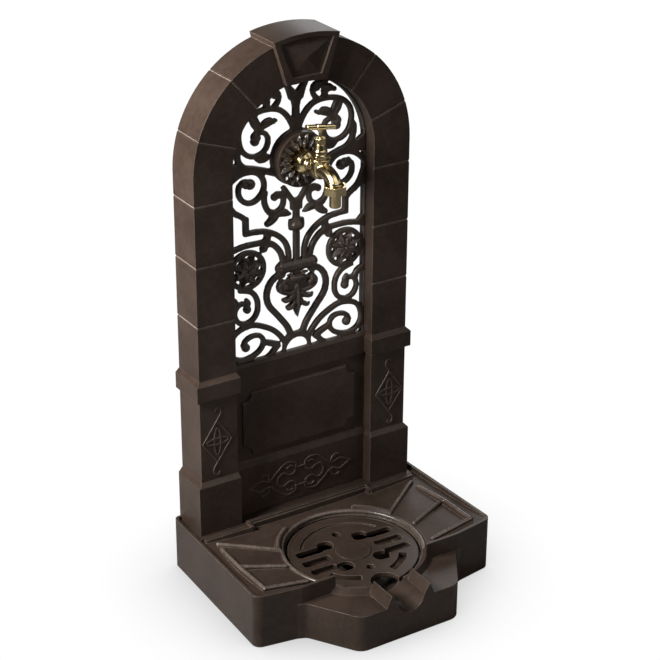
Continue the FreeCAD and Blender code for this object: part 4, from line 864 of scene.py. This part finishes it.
# its cap, hollow for the stem
capLook = {
    "flats": 21.0,
    "profile": (
        (8.7, 589.3, 0), (11.8, 589.3, 1), (11.8, 593.6, 1), (10.2, 594.6, 0.4), (9.2, 595.2, 0),
        (9.0, 599.5, 0), (8.0, 600.6, 0), (7.4, 604.0, 0), (6.6, 608.4, 0), (3.4, 608.4, 0),
        (3.4, 595.4, 0), (7.3, 594.4, 0), (7.3, 589.3, 0),
    ),
    "voxel": 0.0005,
    "rounds": 2,
}
capForm = newForm()
turnedRings(capForm, spindlePlace, upward, capLook["profile"], sides=48, flats=capLook["flats"], loop=True)
capMesh = shapedMesh(meshFrom(capForm), capLook["voxel"] * voxelShare, 0.0, capLook["rounds"])
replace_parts(newPiece("capCasting", capMesh, "brass"), "bonnet")

# the stem and the handle's bar, which turn together
stemLook = {
    "profile": (
        (5.4, 584.7, 0), (5.4, 587.0, 0), (3.0, 587.2, 0),
        (3.0, 612.0, 0), (2.3, 613.4, 0), (2.3, 628.9, 0),
    ),
}
stemForm = newForm()
turnedRings(stemForm, spindlePlace, upward, stemLook["profile"])
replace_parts(newPiece("stemRod", meshFrom(stemForm), "brass", "handle"), "spindle")

handleLook = {
    "height": 630.0,
    "turn": -26.0,
    "bar": ((4.7, 4.8), (3.9, 5.4), (3.9, 17.2), (3.2, 18.0)),  # radius, and distance from the middle
    "socketDrop": 6.0,
    "socket": ((2.9, 0, 0), (3.2, 0.6, 0), (3.2, 3.5, 0)),
    "voxel": 0.0004,
    "rounds": 1,
}
barTurn = math.radians(handleLook["turn"])
barAxis = (math.cos(barTurn), math.sin(barTurn), 0)
barRows = [(radius, -distance, 0) for radius, distance in reversed(handleLook["bar"])]
barRows += [(radius, distance, 0) for radius, distance in handleLook["bar"]]
barZ = handleLook["height"]
barForm = newForm()
turnedRings(barForm, (0, spindleY, barZ), barAxis, barRows, sides=32)
turnedRings(barForm, (0, spindleY, barZ - handleLook["socketDrop"]), upward, handleLook["socket"], sides=24)
barMesh = shapedMesh(meshFrom(barForm), handleLook["voxel"] * voxelShare, 0.0, handleLook["rounds"])
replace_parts(newPiece("handleBar", barMesh, "brass", "handle"), "tee_handle")
print("cap, stem and handle", len(capMesh.vertices), len(barMesh.vertices))

# floor: white for the camera but for the object's shadow, and darker in the light that it throws back
floorLook = {
    "half": 30.0,
    "drop": 0.0005,
    "shade": 0.14,
    "glossShade": 0.42,
    "white": 1.02,
    "shadowReach": 0.16,
    "shadowDepth": 0.62,
    "shadowSamples": 16,
}
half = floorLook["half"]
floorMesh = bpy.data.meshes.new("studioFloor")
corners = [(-half, -half, 0), (half, -half, 0), (half, half, 0), (-half, half, 0)]
floorMesh.from_pydata(corners, [], [(0, 1, 2, 3)])
floor = bpy.data.objects.new("studioFloor", floorMesh)
scene.collection.objects.link(floor)
floorMaterial = bpy.data.materials.new("studioFloor")
floorMaterial.use_nodes = True
floorTree = floorMaterial.node_tree
floorTree.nodes.remove(floorTree.nodes["Principled BSDF"])


def seenRays(tree):
    # the light path's outputs, and 1 for the rays that the camera sees straight on or through glass
    rays = tree.nodes.new("ShaderNodeLightPath").outputs
    return rays, mathNode(tree, "MAXIMUM", rays["Is Camera Ray"], rays["Is Transmission Ray"])


def grey(value):
    return (value, value, value, 1)


floorRays, floorSeen = seenRays(floorTree)
matte = floorTree.nodes.new("ShaderNodeBsdfDiffuse")
floorShade = mixColor(floorTree, floorRays["Is Glossy Ray"], grey(floorLook["shade"]),
                      grey(floorLook["glossShade"]))
floorTree.links.new(floorShade, matte.inputs["Color"])
occlusion = floorTree.nodes.new("ShaderNodeAmbientOcclusion")
occlusion.samples = floorLook["shadowSamples"]
occlusion.inputs["Distance"].default_value = floorLook["shadowReach"]
lifted = mathNode(floorTree, "MULTIPLY", occlusion.outputs["AO"], floorLook["shadowDepth"])
lifted = mathNode(floorTree, "ADD", lifted, floorLook["white"] - floorLook["shadowDepth"])
glow = floorTree.nodes.new("ShaderNodeEmission")
floorTree.links.new(lifted, glow.inputs["Strength"])
blend = floorTree.nodes.new("ShaderNodeMixShader")
floorTree.links.new(floorSeen, blend.inputs[0])
floorTree.links.new(matte.outputs[0], blend.inputs[1])
floorTree.links.new(glow.outputs[0], blend.inputs[2])
floorTree.links.new(blend.outputs[0], floorTree.nodes["Material Output"].inputs["Surface"])
floorMesh.materials.append(floorMaterial)
floor.location.z = -floorLook["drop"]

# sky: white for the camera, a low plain light for the rest, and soft bright fields for reflections
skyLook = {
    "ambient": 0.022,
    "edgeGain": 6.0,
    # direction, half angle in degrees and strength: left, right and upper front
    "lobes": (
        ((-0.98, 0.0, 0.2), 34.0, 2.2),
        ((0.84, -0.50, 0.15), 22.0, 1.3),
        ((0.08, -0.62, 0.77), 30.0, 1.9),
    ),
}
world = bpy.data.worlds.new("studio")
scene.world = world
world.use_nodes = True
skyTree = world.node_tree
sky = skyTree.nodes["Background"]
skyRays, skySeen = seenRays(skyTree)
skyCoords = skyTree.nodes.new("ShaderNodeTexCoord")


def glowLobe(direction, spread, strength):
    # a soft bright field around one direction of the world
    dot = skyTree.nodes.new("ShaderNodeVectorMath")
    dot.operation = "DOT_PRODUCT"
    skyTree.links.new(skyCoords.outputs["Generated"], dot.inputs[0])
    dot.inputs[1].default_value = Vector(direction).normalized()
    edge = mathNode(skyTree, "SUBTRACT", dot.outputs["Value"], math.cos(math.radians(spread)))
    edge = clampNode(skyTree, mathNode(skyTree, "MULTIPLY", edge, skyLook["edgeGain"]))
    return mathNode(skyTree, "MULTIPLY", edge, strength)


fields = [glowLobe(*lobe) for lobe in skyLook["lobes"]]
glossLight = fields[0]
for field in fields[1:]:
    glossLight = mathNode(skyTree, "ADD", glossLight, field)
glossLight = mathNode(skyTree, "MULTIPLY", glossLight, skyRays["Is Glossy Ray"])
strength = mathNode(skyTree, "MAXIMUM", skySeen, mathNode(skyTree, "ADD", glossLight, skyLook["ambient"]))
skyTree.links.new(strength, sky.inputs["Strength"])
sky.inputs["Color"].default_value = (1, 1, 1, 1)

# soft square lamps: place, aim, width in metres and power in watts
lamps = {
    "keyLamp": ((-1.15, 0.035, 1.1), (0, 0.1, 0.5), 0.5, 32),
    "fillLamp": ((1.0, -1.4, 1.1), (0, -0.05, 0.3), 1.0, 3.0),
    "lowLamp": ((-0.10, -0.52, 0.12), (0, -0.1, 0.04), 0.2, 0.22),
    "rearLamp": ((2.0, 2.2, 1.6), (0, 0.1, 0.35), 1.4, 16),
}
for name, (place, aim, width, power) in lamps.items():
    data = bpy.data.lights.new(name, "AREA")
    data.shape = "SQUARE"
    data.size = width
    data.energy = power
    lamp = bpy.data.objects.new(name, data)
    scene.collection.objects.link(lamp)
    lamp.location = place
    lamp.rotation_mode = "QUATERNION"
    lamp.rotation_quaternion = (Vector(aim) - Vector(place)).to_track_quat("-Z", "Y")

# the camera stands where the photograph was taken from; angles in degrees
cameraLook = {
    "azimuth": -32.4243,
    "elevation": 25.5896,
    "roll": 0.27284,
    "distance": 2.528548,
    "target": (0.0390353, 0.1027, 0.3242945),
    "lens": 102.735,
    "sensor": 36.0,
}
azimuth, elevation, roll = (math.radians(cameraLook[part]) for part in ("azimuth", "elevation", "roll"))
back = Vector((math.sin(azimuth) * math.cos(elevation), -math.cos(azimuth) * math.cos(elevation),
               math.sin(elevation)))
level = (-back).cross(Vector((0, 0, 1))).normalized()
upright = level.cross(-back)
imageRight = level * math.cos(roll) + upright * math.sin(roll)
imageUp = upright * math.cos(roll) - level * math.sin(roll)
eye = Vector(cameraLook["target"]) + back * cameraLook["distance"]
cameraData = bpy.data.cameras.new("photoCamera")
cameraData.lens = cameraLook["lens"]
cameraData.sensor_width = cameraLook["sensor"]
camera = bpy.data.objects.new("photoCamera", cameraData)
scene.collection.objects.link(camera)
camera.matrix_world = Matrix((
    (imageRight.x, imageUp.x, back.x, eye.x),
    (imageRight.y, imageUp.y, back.y, eye.y),
    (imageRight.z, imageUp.z, back.z, eye.z),
    (0, 0, 0, 1),
))
scene.camera = camera
scene.view_settings.view_transform = "Standard"
print("stage set")
